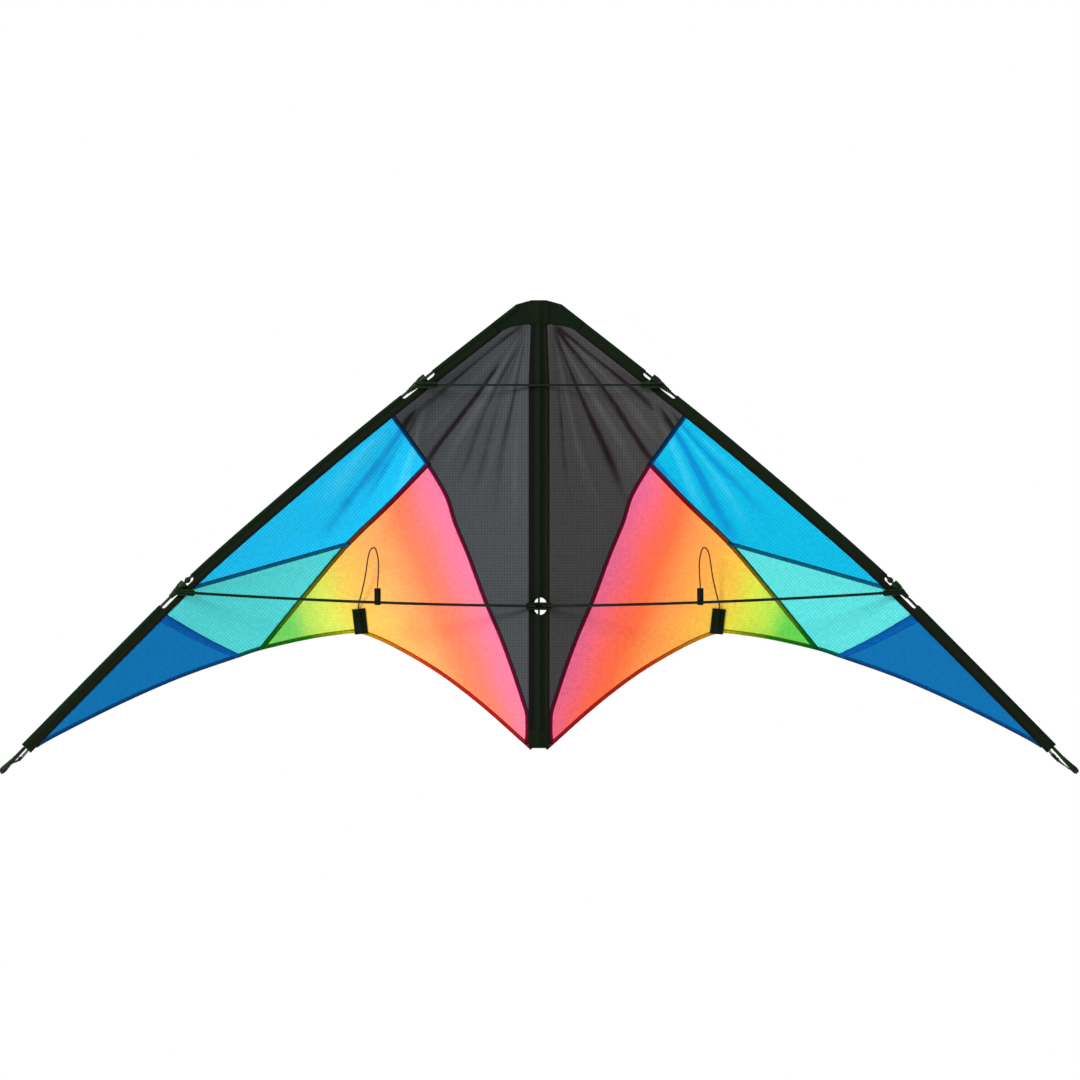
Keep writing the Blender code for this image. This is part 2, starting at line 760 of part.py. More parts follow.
def tip_cord():
    """Tension cord: out of the sleeve, through the nock's fork, and back behind the rod."""
    name = "tip_cord_right"
    back = [(away, across, -y) for away, across, y in reversed(CORD_FRONT)]
    route = [tip_point(*p) for p in [*CORD_FRONT, (CORD_TURN, 0.0, 0.0), *back]]
    cord = tube(name, smooth(route, 2), CORD_R, CORD, resolution=2)
    knot = bmesh.new()
    bmesh.ops.create_icosphere(knot, subdivisions=2, radius=KNOT_R)
    place = Matrix.Translation(tip_point(KNOT_AWAY, KNOT_ACROSS, 0))
    bead = from_bmesh(name + "_knot", knot, place, None)
    add(cord, bead)
    return cord


# ---------------------------------------------------------------- sail


def sail_cloth():
    """The whole wing's cloth as one thin billowed sheet, which the panels are cut from."""
    sheet = bmesh.new()
    bmesh.ops.create_grid(sheet, x_segments=SAIL_COLUMNS, y_segments=SAIL_ROWS, size=0.5)
    for vertex in sheet.verts:
        x = SAIL_CORNER[0] + (vertex.co.x + 0.5) * SAIL_COLUMNS * SAIL_GRID
        z = SAIL_CORNER[1] + (vertex.co.y + 0.5) * SAIL_ROWS * SAIL_GRID
        vertex.co = (x, sail_depth(x, z), z)
    bmesh.ops.triangulate(sheet, faces=sheet.faces)
    mesh = bpy.data.meshes.new("sail_cloth")
    sheet.to_mesh(mesh)
    sheet.free()
    cloth = mesh_object("sail_cloth", mesh, None, CUTTERS)
    cloth.hide_render = True
    cloth.display_type = "WIRE"
    thick = cloth.modifiers.new("cloth", "SOLIDIFY")
    thick.thickness = 2 * SAIL_HALF
    thick.offset = 0.0
    return cloth


def sail_panel(name, outline, cloth, finish):
    """One panel: the prism of its outline, kept where the cloth is."""
    panel = plate(name, shrink(outline, SEAM_GAP), -0.02, BILLOW + 0.06, finish)
    step = panel.modifiers.new("cloth", "BOOLEAN")
    step.object = cloth
    step.operation = "INTERSECT"
    step.solver = "EXACT"
    return panel


def nearest(path, point):
    """Index of the path's point that is nearest to the given one."""
    point = Vector(point)
    return min(range(len(path)), key=lambda i: (path[i] - point).length)


def sail_borders():
    """The outline of each panel of the right wing, in turn round its edge."""
    inner = inset_path(EDGE, lambda share: SLEEVE_WIDTH + GAP)
    seam_heights = (EDGE_CHARCOAL_BLUE_Z, EDGE_BLUE_TURQUOISE_Z, EDGE_TURQUOISE_TIP_Z)
    marks = [at_height(inner, z) for z in seam_heights]
    patch_corner = point_at(inner, PATCH_END + GAP)[0]
    arc = [p - Vector((0, GAP)) for p in smooth(PATCH_ARC, 3) if p.x < patch_corner.x - 0.001]
    spine_side = [
        Vector((SLEEVE_HALF + GAP, FAN_INNER_SEAM[-1][1])),
        Vector((SLEEVE_HALF + GAP, SLEEVE_FULL_WIDTH_Z)),
        Vector((SLEEVE_HALF_TOP + GAP, SLEEVE_TOP)),
    ]
    fan_inner = smooth(FAN_INNER_SEAM, 2)
    fan_inner[-1] = spine_side[0].copy()
    fan_outer = smooth(FAN_OUTER_SEAM, 3)
    at_corner = nearest(fan_outer, FAN_CORNER)
    trailing_inner = smooth(TRAILING_INNER, 3)
    trailing_inner[0].x = SLEEVE_HALF + GAP
    trailing_outer = smooth(TRAILING_OUTER, 3)
    at_fan_tip = nearest(trailing_outer, FAN_TIP)
    at_tip = nearest(trailing_outer, TIP_CORNER)
    blue_seam = [point_at(inner, marks[1])[0], Vector(FAN_CORNER)]
    tip_seam = smooth([point_at(inner, marks[2])[0], TIP_SEAM_MIDDLE, TIP_CORNER], 3)
    return {
        "charcoal_panel": joined(
            spine_side, arc, stretch(inner, PATCH_END + GAP, marks[0]), fan_inner
        ),
        "upper_blue_panel": joined(
            stretch(inner, marks[0], marks[1]), blue_seam, fan_outer[: at_corner + 1][::-1]
        ),
        "turquoise_panel": joined(
            stretch(inner, marks[1], marks[2]),
            tip_seam,
            trailing_outer[at_fan_tip : at_tip + 1][::-1],
            fan_outer[at_corner:][::-1],
        ),
        "tip_panel": joined(
            stretch(inner, marks[2], lengths(inner)[-1] - TIP_PANEL_SHORT),
            trailing_outer[at_tip:][::-1],
            tip_seam[::-1],
        ),
        "fan_panel": joined(
            fan_inner,
            trailing_inner,
            trailing_outer[: at_fan_tip + 1],
            fan_outer[::-1],
        ),
    }


PANEL_FINISH = {
    "charcoal_panel": CHARCOAL,
    "upper_blue_panel": BLUE,
    "turquoise_panel": TURQUOISE,
    "tip_panel": TIP_BLUE,
    "fan_panel": FAN,
}


def sail_panels():
    cloth = sail_cloth()
    borders = sail_borders()
    return [
        sail_panel(f"{name}_right", outline, cloth, PANEL_FINISH[name])
        for name, outline in borders.items()
    ]


# ---------------------------------------------------------------- standoffs


def pocket_frame():
    """Placement of the standoff pocket on the sail's front: x across, y out of the front, z up."""
    x, z = POCKET_CENTRE
    step = 0.004
    centre = Vector((x, sail_depth(x, z), z))
    up = Vector((0, sail_depth(x, z + step) - sail_depth(x, z - step), 2 * step)).normalized()
    across = Vector((2 * step, sail_depth(x + step, z) - sail_depth(x - step, z), 0)).normalized()
    front = across.cross(up).normalized()
    if front.y > 0:
        front = -front
    tilt = Matrix.Rotation(POCKET_TILT, 3, -front)
    up = tilt @ up
    across = front.cross(up)
    turn = Matrix((across, front, up)).transposed().to_4x4()
    return Matrix.Translation(centre) @ turn


def standoff_pocket():
    """Stitched pocket at the trailing edge, which takes the standoff's end."""
    name = "standoff_pocket_right"
    place = pocket_frame()
    half = POCKET_WIDTH / 2
    low = (-half, POCKET_BACK, -POCKET_LENGTH / 2)
    high = (half, POCKET_BACK + POCKET_THICKNESS, POCKET_LENGTH / 2)
    pocket = bevel(block(name, low, high, WEBBING, place), 0.0010)
    start = place @ Vector((0, POCKET_AXIS, POCKET_BORE_BOTTOM))
    end = place @ Vector((0, POCKET_AXIS, POCKET_LENGTH / 2 + 0.01))
    cut(pocket, cylinder(name + "_bore", start, end, STANDOFF_R + GAP))
    return pocket


def standoff_rod():
    """Springy rod from its clip up, over and back down to the pocket at the trailing edge."""
    place = pocket_frame()
    seat_top = POCKET_LENGTH / 2 + 0.004
    seat = [place @ Vector((0, POCKET_AXIS, h)) for h in (seat_top, 0.0, POCKET_BORE_BOTTOM + GAP)]
    bend = smooth([Vector(p) for p in STANDOFF_ROUTE] + seat[:1], 4)
    return tube("standoff_rod_right", bend + seat[1:], STANDOFF_R, FIBREGLASS, resolution=2)


def standoff_clip():
    """Rubber clip that stands on the lower spreader and holds the standoff's other end."""
    name = "standoff_clip_right"
    foot = (STANDOFF_X, CLIP_Y, CLIP_BOTTOM)
    clip = cylinder(name, foot, (STANDOFF_X, CLIP_Y, CLIP_TOP), CLIP_R, MOULDED)
    bevel(clip, 0.0010)
    bottom = (STANDOFF_X, CLIP_Y, STANDOFF_ROUTE[0][2] - GAP)
    socket = cylinder(name + "_socket", bottom, (STANDOFF_X, CLIP_Y, 0.05), STANDOFF_R + GAP)
    cut(clip, socket)
    reach = 0.02
    ends = [(x, LOWER_Y, lower_spreader_z(x)) for x in (STANDOFF_X - reach, STANDOFF_X + reach)]
    cut(clip, channel_cutter(name + "_seat", *ends, LOWER_SPREADER_R + GAP))
    return clip


# ---------------------------------------------------------------- assembly


def mirrored(source):
    """The left wing's copy of a right wing piece."""
    bpy.context.view_layer.update()
    graph = bpy.context.evaluated_depsgraph_get()
    mesh = bpy.data.meshes.new_from_object(source.evaluated_get(graph))
    mesh.transform(Matrix.Scale(-1, 4, (1, 0, 0)))
    mesh.flip_normals()
    name = source.name.replace("_right", "_left")
    mesh.name = name
    made = bpy.data.objects.new(name, mesh)
    KITE.objects.link(made)
    return made


def pivot(name, location, pieces):
    """An empty on a joint's axis, which the joint's pieces hang from."""
    empty = bpy.data.objects.new(name, None)
    empty.empty_display_size = 0.03
    empty.location = location
    KITE.objects.link(empty)
    for piece in pieces:
        piece.parent = empty
        piece.matrix_parent_inverse = Matrix.Translation(location).inverted()


spine_rod()
spine_sleeve()
webbing_end("nose_webbing", SLEEVE_TOP + GAP, NOSE_Z, True)
webbing_end("tail_webbing", TAIL_Z, TAIL_WEBBING_TOP, False)
end_cap("spine_cap_nose", (0, 0, SPINE_ROD_TOP), (0, 0, 1), SPINE_R)
end_cap("spine_cap_tail", (0, 0, SPINE_ROD_BOTTOM), (0, 0, -1), SPINE_R)
centre_tee()

pivot("upper_spreader_slide", (0, UPPER_Y, UPPER_Z), [upper_spreader()])

right_spreader = lower_spreader()
left_spreader = mirrored(right_spreader)
pivot("right_spreader_pivot", (LOWER_PIVOT_X, LOWER_Y, 0), [right_spreader])
pivot("left_spreader_pivot", (-LOWER_PIVOT_X, LOWER_Y, 0), [left_spreader])

right_wing = [
    leading_edge_rod(),
    leading_edge_cap(),
    leading_edge_sleeve(),
    nose_patch(),
    upper_connector(),
    lower_connector(),
    stopper("upper_stopper_right", UPPER_MARK + STOPPER_AWAY),
    stopper("lower_stopper_right", LOWER_MARK - STOPPER_AWAY),
    tip_nock(),
    tip_cord(),
    standoff_rod(),
    standoff_clip(),
    standoff_pocket(),
]
right_wing += sail_panels()
left_wing = [mirrored(piece) for piece in right_wing]
pivot("right_wing_hinge", (HINGE_X, HINGE_Y, 0), right_wing)
pivot("left_wing_hinge", (-HINGE_X, HINGE_Y, 0), left_wing)
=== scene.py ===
"""Looks of the two-line delta kite: its cloth, seams, mouldings, cords, light and camera.

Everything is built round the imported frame, in metres: +X right, -Y towards the flyer, +Z to the nose.
Each wing piece is worked out for the right wing, and its twin is the mirror image across the spine.
"""

import math

import bmesh
import bpy
import numpy as np
from mathutils import Matrix, Vector
from mathutils.geometry import delaunay_2d_cdt
from mathutils.noise import noise


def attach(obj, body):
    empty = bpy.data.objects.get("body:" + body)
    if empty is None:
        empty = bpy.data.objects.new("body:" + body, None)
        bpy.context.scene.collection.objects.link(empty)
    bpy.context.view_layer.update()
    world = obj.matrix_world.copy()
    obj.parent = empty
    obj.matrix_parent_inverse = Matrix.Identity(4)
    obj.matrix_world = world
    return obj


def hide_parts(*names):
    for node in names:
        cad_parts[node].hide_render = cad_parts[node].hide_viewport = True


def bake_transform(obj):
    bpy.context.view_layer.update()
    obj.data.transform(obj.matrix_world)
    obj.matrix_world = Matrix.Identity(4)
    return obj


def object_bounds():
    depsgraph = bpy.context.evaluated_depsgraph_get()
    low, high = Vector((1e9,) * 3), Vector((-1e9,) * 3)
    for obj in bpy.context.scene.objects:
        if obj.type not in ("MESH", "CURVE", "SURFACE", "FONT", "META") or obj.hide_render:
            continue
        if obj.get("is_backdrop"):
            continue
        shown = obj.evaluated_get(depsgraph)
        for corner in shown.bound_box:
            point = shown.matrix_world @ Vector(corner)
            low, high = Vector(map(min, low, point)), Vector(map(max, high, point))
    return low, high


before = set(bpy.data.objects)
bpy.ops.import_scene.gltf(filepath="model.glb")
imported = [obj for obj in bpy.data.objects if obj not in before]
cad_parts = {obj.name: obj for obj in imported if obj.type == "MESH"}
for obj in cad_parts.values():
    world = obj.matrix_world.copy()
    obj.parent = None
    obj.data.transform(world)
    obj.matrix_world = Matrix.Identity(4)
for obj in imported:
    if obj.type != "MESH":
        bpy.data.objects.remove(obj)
CAD_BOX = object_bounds()
SIDES = {"right": 1, "left": -1}

# Sail shape, as the frame's cloth stands
SLEEVE_WIDTH = 0.0174
ROD_INSET = 0.0028
TIP_ROD_INSET = 0.0064
TIP_INSET_START = 0.60
TIP_BARE = 0.0420
SPINE_HALF_TOP = 0.0111
SPINE_HALF = 0.0144
SPINE_FULL_WIDTH_Z = 0.3100
SPINE_SLEEVE_TOP = 0.3905
BILLOW = 0.0750
BILLOW_TOP_Z = 0.3920
BILLOW_FULL_Z = -0.0300
NEAR = 0.0012

# Cloth
CLOTH_STEP = 0.0045
FOLDED_STEP = 0.0030
RIPSTOP_THICK = 0.00026
SEAM_THICK = 0.00062
SEAM_STEP = 0.0040
HEM_WIDTH = 0.0054
RIPSTOP_SQUARE = 0.0040
UNDERLAP = 0.0040

# Light: radiance of the white surroundings, the light they and the lamps add up to, a faint shine
SURROUNDINGS = 1.0
LIGHT_TOTAL = 1.32
SHINE = 0.007
BLACK = (0, 0, 0, 1)


# ---------------------------------------------------------------- camera and light


def placed(name, data, location=(0, 0, 0)):
    """A new object in the scene."""
    made = bpy.data.objects.new(name, data)
    made.location = location
    bpy.context.scene.collection.objects.link(made)
    return made


def camera():
    """A long lens straight at the kite's front, which frames a square 1.502 m wide."""
    data = bpy.data.cameras.new("camera")
    data.sensor_width = 36.0
    data.lens = 400.0
    data.clip_end = 100.0
    view_width = 1.502
    made = placed("camera", data, (0.0015, -view_width * data.lens / data.sensor_width, 0.0920))
    made.rotation_euler = (math.pi / 2, 0, 0)
    bpy.context.scene.camera = made


def area_light(name, location, size, power):
    data = bpy.data.lights.new(name, "AREA")
    data.shape = "DISK"
    data.size = size
    data.energy = power
    made = placed(name, data, location)
    towards = Vector((0, 0, 0.1)) - made.location
    made.rotation_euler = towards.to_track_quat("-Z", "Y").to_euler()


def studio():
    """White surroundings, two large soft lamps and a pale round floor well under the kite."""
    world = bpy.data.worlds.new("studio")
    world.use_nodes = True
    background = world.node_tree.nodes["Background"]
    background.inputs["Color"].default_value = (1, 1, 1, 1)
    background.inputs["Strength"].default_value = SURROUNDINGS
    bpy.context.scene.world = world
    bpy.context.scene.view_settings.view_transform = "Standard"
    area_light("key", (-3.0, -3.6, 2.6), 1.6, 400)
    area_light("back", (1.8, 4.2, 2.2), 2.4, 300)
    ground = bmesh.new()
    bmesh.ops.create_circle(ground, cap_ends=True, segments=96, radius=3.0)
    mesh = bpy.data.meshes.new("floor")
    ground.to_mesh(mesh)
    ground.free()
    pale = bpy.data.materials.new("floor")
    pale.use_nodes = True
    shader = pale.node_tree.nodes["Principled BSDF"]
    shader.inputs["Base Color"].default_value = (0.86, 0.86, 0.85, 1)
    shader.inputs["Roughness"].default_value = 0.9
    mesh.materials.append(pale)
    placed("floor", mesh, (0, 0, -0.95))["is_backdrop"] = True


# ---------------------------------------------------------------- paths


def inward(along):
    """Unit normal in the XZ plane that points from the leading edge into the sail."""
    return np.array((along[1], -along[0])) if along[1] < 0 else np.array((-along[1], along[0]))


class Path:
    """A line in the XZ plane, measured along its length. Across is positive towards the sail.

    A hem, which runs towards +X, has the sail on its left all the way.
    """

    def __init__(self, points, hem=False):
        self.points = np.array([tuple(p) for p in points], float)
        self.hem = hem
        steps = np.linalg.norm(np.diff(self.points, axis=0), axis=1)
        self.marks = np.concatenate([[0.0], np.cumsum(steps)])
        self.length = float(self.marks[-1])

    def at(self, mark):
        """Point and unit direction at a distance along, going straight on past the ends."""
        i = int(np.searchsorted(self.marks, mark)) - 1
        i = min(max(i, 0), len(self.points) - 2)
        step = self.points[i + 1] - self.points[i]
        along = step / np.linalg.norm(step)
        return self.points[i] + along * (mark - self.marks[i]), along

    def off(self, mark, across, reach=0.006):
        """The point that far along and across; its direction is averaged over a short reach."""
        step = self.at(mark + reach)[0] - self.at(mark - reach)[0]
        along = step / np.linalg.norm(step)
        side = np.array((-along[1], along[0])) if self.hem else inward(along)
        return self.at(mark)[0] + side * across

    def mark_of(self, point):
        """Distance along of the path's place nearest to a point, and the point's offset across."""
        start = self.points[:-1]
        step = self.points[1:] - start
        share = np.clip(((point - start) * step).sum(1) / (step * step).sum(1), 0, 1)
        away = point - (start + step * share[:, None])
        i = int(np.argmin((away * away).sum(1)))
        length = math.sqrt(float((step[i] ** 2).sum()))
        across = float(away[i] @ inward(step[i] / length))
        return float(self.marks[i] + share[i] * length), across

    def resampled(self, step, smoothing=4):
        """The same line with even points, its small corners rounded off."""
        count = max(2, round(self.length / step))
        points = np.array([self.at(self.length * i / count)[0] for i in range(count + 1)])
        for _ in range(smoothing):
            points[1:-1] = (points[:-2] + 2 * points[1:-1] + points[2:]) / 4
        return Path(points, self.hem)

    def extended(self, before, after):
        """The line made longer at its two ends, or shorter if negative."""
        marks = [m for m in self.marks if max(0, -before) < m < self.length + min(0, after)]
        points = [self.at(m)[0] for m in marks]
        return Path([self.at(-before)[0], *points, self.at(self.length + after)[0]], self.hem)

    def near(self, x, z):
        """Distances of points from the line."""
        return distances(self.points, np.column_stack([x, z]))


def distances(line, points):
    """Distance of each point from a line of points."""
    least = np.full(len(points), 1e9)
    for a, b in zip(line, line[1:]):
        step = b - a
        share = np.clip(((points - a) @ step) / max(step @ step, 1e-12), 0, 1)
        away = points - (a + share[:, None] * step)
        least = np.minimum(least, (away * away).sum(1))
    return np.sqrt(least)


def closed(outline):
    """An outline that ends where it starts."""
    return np.vstack([outline, outline[:1]])


def catmull(points, steps):
    """A smooth curve through the points, as 3-D vectors."""
    points = [Vector(p) for p in points]
    padded = [2 * points[0] - points[1]] + points + [2 * points[-1] - points[-2]]
    curve = []
    for a, b, c, d in zip(padded, padded[1:], padded[2:], padded[3:]):
        for step in range(steps):
            t = step / steps
            bend = (c - a) * t + (2 * a - 5 * b + 4 * c - d) * t**2 + (3 * b - a - 3 * c + d) * t**3
            curve.append(0.5 * (2 * b + bend))
    return curve + [points[-1]]


def smoothstep(low, high, value):
    t = np.clip((value - low) / (high - low), 0, 1)
    return t * t * (3 - 2 * t)


# ---------------------------------------------------------------- reading the frame


def rod_line(name, gap=0.002):
    """Centres of a rod's rings, in order along X."""
    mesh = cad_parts[name].data
    points = np.empty(len(mesh.vertices) * 3)
    mesh.vertices.foreach_get("co", points)
    points = np.unique(np.round(points.reshape(-1, 3), 6), axis=0)
    direction = points[points[:, 0].argmax()] - points[points[:, 0].argmin()]
    place = points @ (direction / np.linalg.norm(direction))
    order = np.argsort(place)
    rings = np.split(order, np.where(np.diff(place[order]) > gap)[0] + 1)
    return np.array([points[ring].mean(0) for ring in rings])


ROD = Path(rod_line("leading_edge_rod_right")[:, [0, 2]])
ROD_COVERED = ROD.length - TIP_BARE


def rod_inset(mark):
    """How far the rod's centre lies inside the sleeve's outer line."""
    grown = smoothstep(TIP_INSET_START, 1.0, mark / ROD_COVERED)
    return ROD_INSET + (TIP_ROD_INSET - ROD_INSET) * grown


SLEEVE_INNER = Path(
    [ROD.off(m, SLEEVE_WIDTH - rod_inset(m)) for m in np.linspace(-0.012, ROD_COVERED, 90)]
)


def inner_edge_x(z):
    """X of the leading edge sleeve's inner edge."""
    return np.interp(z, SLEEVE_INNER.points[::-1, 1], SLEEVE_INNER.points[::-1, 0])


def spine_edge_x(z):
    """X of the spine sleeve's edge."""
    share = np.clip((SPINE_SLEEVE_TOP - z) / (SPINE_SLEEVE_TOP - SPINE_FULL_WIDTH_Z), 0, 1)
    return SPINE_HALF_TOP + (SPINE_HALF - SPINE_HALF_TOP) * share


def sail_depth(x, z):
    """How far the smooth sail stands behind the frame."""
    inner = spine_edge_x(z)
    share = np.clip((x - inner) / (inner_edge_x(z) - inner), 0, 1)
    fullness = np.maximum(0, BILLOW_TOP_Z - z) / (BILLOW_TOP_Z - BILLOW_FULL_Z)
    return BILLOW * fullness * np.sin(math.pi * share)


def border(name):
    """The outline of a CAD panel seen from the front, as (x, z) points in order."""
    solid = bmesh.new()
    solid.from_mesh(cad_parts[name].data)
    bmesh.ops.remove_doubles(solid, verts=solid.verts, dist=2e-5)
    front = {face for face in solid.faces if face.normal.y < -0.3}
    edges = {}
    for face in front:
        for loop in face.loops:
            if sum(other in front for other in loop.edge.link_faces) == 1:
                edges[loop.vert] = loop.link_loop_next.vert
    start = next(iter(edges))
    outline = [start]
    while edges.get(outline[-1], start) is not start:
        outline.append(edges[outline[-1]])
    points = [(v.co.x, v.co.z) for v in outline]
    solid.free()
    return np.array(points)


def turning(points):
    """Angle turned at each point of a closed outline."""
    before = points - np.roll(points, 1, axis=0)
    after = np.roll(points, -1, axis=0) - points
    cross = before[:, 0] * after[:, 1] - before[:, 1] * after[:, 0]
    return np.abs(np.arctan2(cross, (before * after).sum(1)))


def thinned(points, least):
    """A closed outline without points nearer than that to the one before, keeping its corners."""
    kept = [points[0]]
    for point in points[1:]:
        if np.linalg.norm(point - kept[-1]) > least:
            kept.append(point)
    return np.array(kept)


def even_outline(name):
    """A panel's outline with points every few millimetres, smooth between its corners."""
    points = thinned(border(name), 0.0006)
    corners = [i for i, angle in enumerate(turning(points)) if angle > math.radians(24)]
    outline = []
    for a, b in zip(corners, corners[1:] + [corners[0] + len(points)]):
        run = [points[i % len(points)] for i in range(a, b + 1)]
        outline += list(Path(run).resampled(CLOTH_STEP).points[:-1])
    return np.array(outline)


# Each panel's piece and colour slot.
PANELS = {
    "charcoal": ("charcoal_cloth", "charcoal_ripstop"),
    "upper_blue": ("upper_blue_cloth", "blue_ripstop"),
    "turquoise": ("turquoise_cloth", "turquoise_ripstop"),
    "tip": ("tip_blue_cloth", "tip_blue_ripstop"),
    "fan": ("fan_cloth", "fan_ripstop"),
}
OUTLINES = {panel: even_outline(f"{panel}_panel_right") for panel in PANELS}


def seam_between(first, second):
    """The seam of two panels: the part of the first one's outline that runs along the second."""
    outline = OUTLINES[first]
    near = distances(closed(OUTLINES[second]), outline) < NEAR
    count = len(outline)
    runs = []
    for start in (i for i in range(count) if near[i] and not near[i - 1]):
        run = []
        while near[(start + len(run)) % count] and len(run) < count:
            run.append(outline[(start + len(run)) % count])
        runs.append(run)
    return Path(max(runs, key=len))


SEAMS = {
    "charcoal_blue": seam_between("charcoal", "upper_blue"),
    "charcoal_fan": seam_between("charcoal", "fan"),
    "blue_turquoise": seam_between("upper_blue", "turquoise"),
    "blue_fan": seam_between("upper_blue", "fan"),
    "turquoise_fan": seam_between("turquoise", "fan"),
    "turquoise_tip": seam_between("turquoise", "tip"),
}


def free_line(name):
    """The part of a panel's outline that nothing holds: its piece of the trailing edge."""
    outline = OUTLINES[name]
    held = outline[:, 0] < spine_edge_x(outline[:, 1]) + NEAR
    for line in (SLEEVE_INNER, *SEAMS.values()):
        held |= distances(line.points, outline) < NEAR
    count = len(outline)
    start = next(i for i in range(count) if held[i - 1] and not held[i] and not held[(i + 3) % count])
    run = [outline[start - 1]]
    while not held[(start + len(run) - 1) % count]:
        run.append(outline[(start + len(run) - 1) % count])
    run.append(outline[(start + len(run) - 1) % count])
    return Path(run if run[0][0] < run[-1][0] else run[::-1], hem=True)


HEMS = {name: free_line(name) for name in ("fan", "turquoise", "tip")}
# The seam beside the charcoal runs on to the tail along the spine sleeve.
TAIL_SEAM = ((0.0172, -0.1880), (0.0158, -0.1780), (0.0160, -0.1660))
SEAMS["charcoal_fan"] = Path([*TAIL_SEAM, *SEAMS["charcoal_fan"].points[1:]])
TRAILING_EDGE = Path(np.vstack([hem.points for hem in HEMS.values()]))


# ---------------------------------------------------------------- folds in the cloth

NOSE_GATHER = (0.0150, 0.3980)
CONNECTOR_GATHER = (0.1360, 0.3300)
# Folds of each wing's cloth, by the place they start from: angle out from straight down and half
# width in degrees, how dark their painted shade (or, below zero, how bright their painted highlight), where
# they appear and have faded out.
FOLDS = {
    "right": {
        NOSE_GATHER: (
            (7.0, 1.2, 0.55, 0.00, 0.30), (14.0, 1.8, -0.55, 0.02, 0.34), (22.5, 2.0, 0.85, 0.00, 0.34),
            (29.5, 2.0, -0.80, 0.02, 0.30), (37.3, 1.3, 1.30, 0.00, 0.31), (43.3, 1.5, -0.80, 0.02, 0.28),
            (49.2, 1.2, 1.00, 0.00, 0.28), (53.6, 0.9, 0.55, 0.10, 0.28),
        ),
        CONNECTOR_GATHER: (
            (24.0, 2.4, -0.80, 0.04, 0.32), (31.0, 2.0, 1.10, 0.05, 0.34), (35.6, 1.6, -0.60, 0.05, 0.34),
            (40.2, 1.7, 1.00, 0.05, 0.32), (45.5, 2.6, -0.90, 0.04, 0.28),
        ),
        (0.110, 0.262): ((41.4, 1.4, 0.80, 0.06, 0.24),),
    },
    "left": {
        NOSE_GATHER: (
            (4.5, 1.4, -0.45, 0.00, 0.34), (10.5, 1.5, 0.65, 0.00, 0.30), (14.5, 1.2, -0.45, 0.02, 0.30),
            (18.6, 1.5, 0.60, 0.02, 0.32), (24.0, 1.3, 0.65, 0.03, 0.30), (29.0, 1.8, -0.70, 0.02, 0.30),
            (34.6, 1.1, 1.25, 0.06, 0.31), (42.0, 2.4, -0.45, 0.02, 0.28), (51.0, 1.2, 0.75, 0.00, 0.28),
        ),
        CONNECTOR_GATHER: (
            (20.0, 2.6, -0.80, 0.05, 0.32), (28.5, 1.8, 0.50, 0.05, 0.30), (34.0, 2.2, 0.85, 0.05, 0.34),
            (43.0, 3.4, -0.80, 0.04, 0.30),
        ),
    },
}
# Fine pull lines where the cloth leaves the nose patch, also painted as darker lines: the angles in degrees.
NOSE_PULLS = (10.0, 17.0, 25.5, 33.0, 41.0, 50.0, 57.0)
FINEST_FOLD = 0.0021
FOLD_DEPTH = 0.0016
RIPPLE_DEPTH = 0.0009


def seen_from(gather, x, z):
    """Distance of points from a gather, and their angle out from straight down under it."""
    across, down = x - gather[0], gather[1] - z
    return np.hypot(across, down), np.degrees(np.arctan2(across, down))


def crest(turn, half, reach):
    """A fold's height across its angle, never finer than the mesh can show."""
    wide = np.maximum(half, np.degrees(FINEST_FOLD / np.maximum(reach, 0.01)))
    return np.exp(-((turn / wide) ** 2))


def fold_tone(x, z, side):
    """From -1 on a fold's crest to 1 in its hollow, at points of the right wing; in the cloth's colour it is
    painted highlight below 0 and painted shade above 0.
    """
    tone = np.zeros_like(x)
    for gather, folds in FOLDS[side].items():
        reach, angles = seen_from(gather, x, z)
        for angle, half, strength, start, end in folds:
            turn = angles - angle - 1.1 * np.sin(reach * 21 + angle)
            shown = smoothstep(start, start + 0.035, reach) * (1 - smoothstep(end - 0.15, end, reach))
            tone += strength * crest(turn, half, reach) * shown
    reach, angles = seen_from(NOSE_GATHER, x, z)
    for k, angle in enumerate(NOSE_PULLS):
        shown = 1 - smoothstep(0.035 + 0.02 * (k % 3), 0.09 + 0.03 * (k % 3), reach)
        tone += 0.30 * crest(angles - angle, 1.0, reach) * shown
    return np.clip(tone, -1, 1)


def ripple(x, z, side):
    """Soft unevenness of stretched cloth, longest away from the leading edge."""
    turn = 9.0 if side == "left" else 0.0
    return np.array([noise(Vector((a * 14 + turn, b * 9, turn))) for a, b in zip(x, z)])


def edge_hold(x, z):
    """0 where the cloth is held by the spine and the leading edge, rising to 1 away from them."""
    return smoothstep(0, 0.02, x - spine_edge_x(z)) * smoothstep(0, 0.02, inner_edge_x(z) - x)


def wing_depth(side):
    """Y of the cloth's middle at points of the right wing, with the folds of one side."""

    def depth(x, z):
        x, z = np.atleast_1d(x), np.atleast_1d(z)
        held = edge_hold(x, z)
        for seam in (*SEAMS.values(), *HEMS.values()):
            held = held * smoothstep(0.003, 0.016, seam.near(x, z))
        folds = FOLD_DEPTH * fold_tone(x, z, side) + RIPPLE_DEPTH * ripple(x, z, side)
        return sail_depth(x, z) + held * folds

    return depth


# ---------------------------------------------------------------- meshes


class Shape:
    """Points, faces and the numbers kept at each point, before they become an object."""

    def __init__(self):
        self.points, self.faces, self.cloth, self.strip, self.tone = [], [], [], [], []

    def add(self, points, faces, cloth=None, strip=None, tone=None):
        first = len(self.points)
        points = [tuple(p) for p in points]
        self.points += points
        self.faces += [tuple(first + i for i in face) for face in faces]
        self.cloth += [tuple(c) for c in cloth] if cloth is not None else [(p[0], p[2]) for p in points]
        self.strip += [tuple(s) for s in strip] if strip is not None else [(0.0, 0.0)] * len(points)
        self.tone += list(tone) if tone is not None else [0.0] * len(points)
        return self


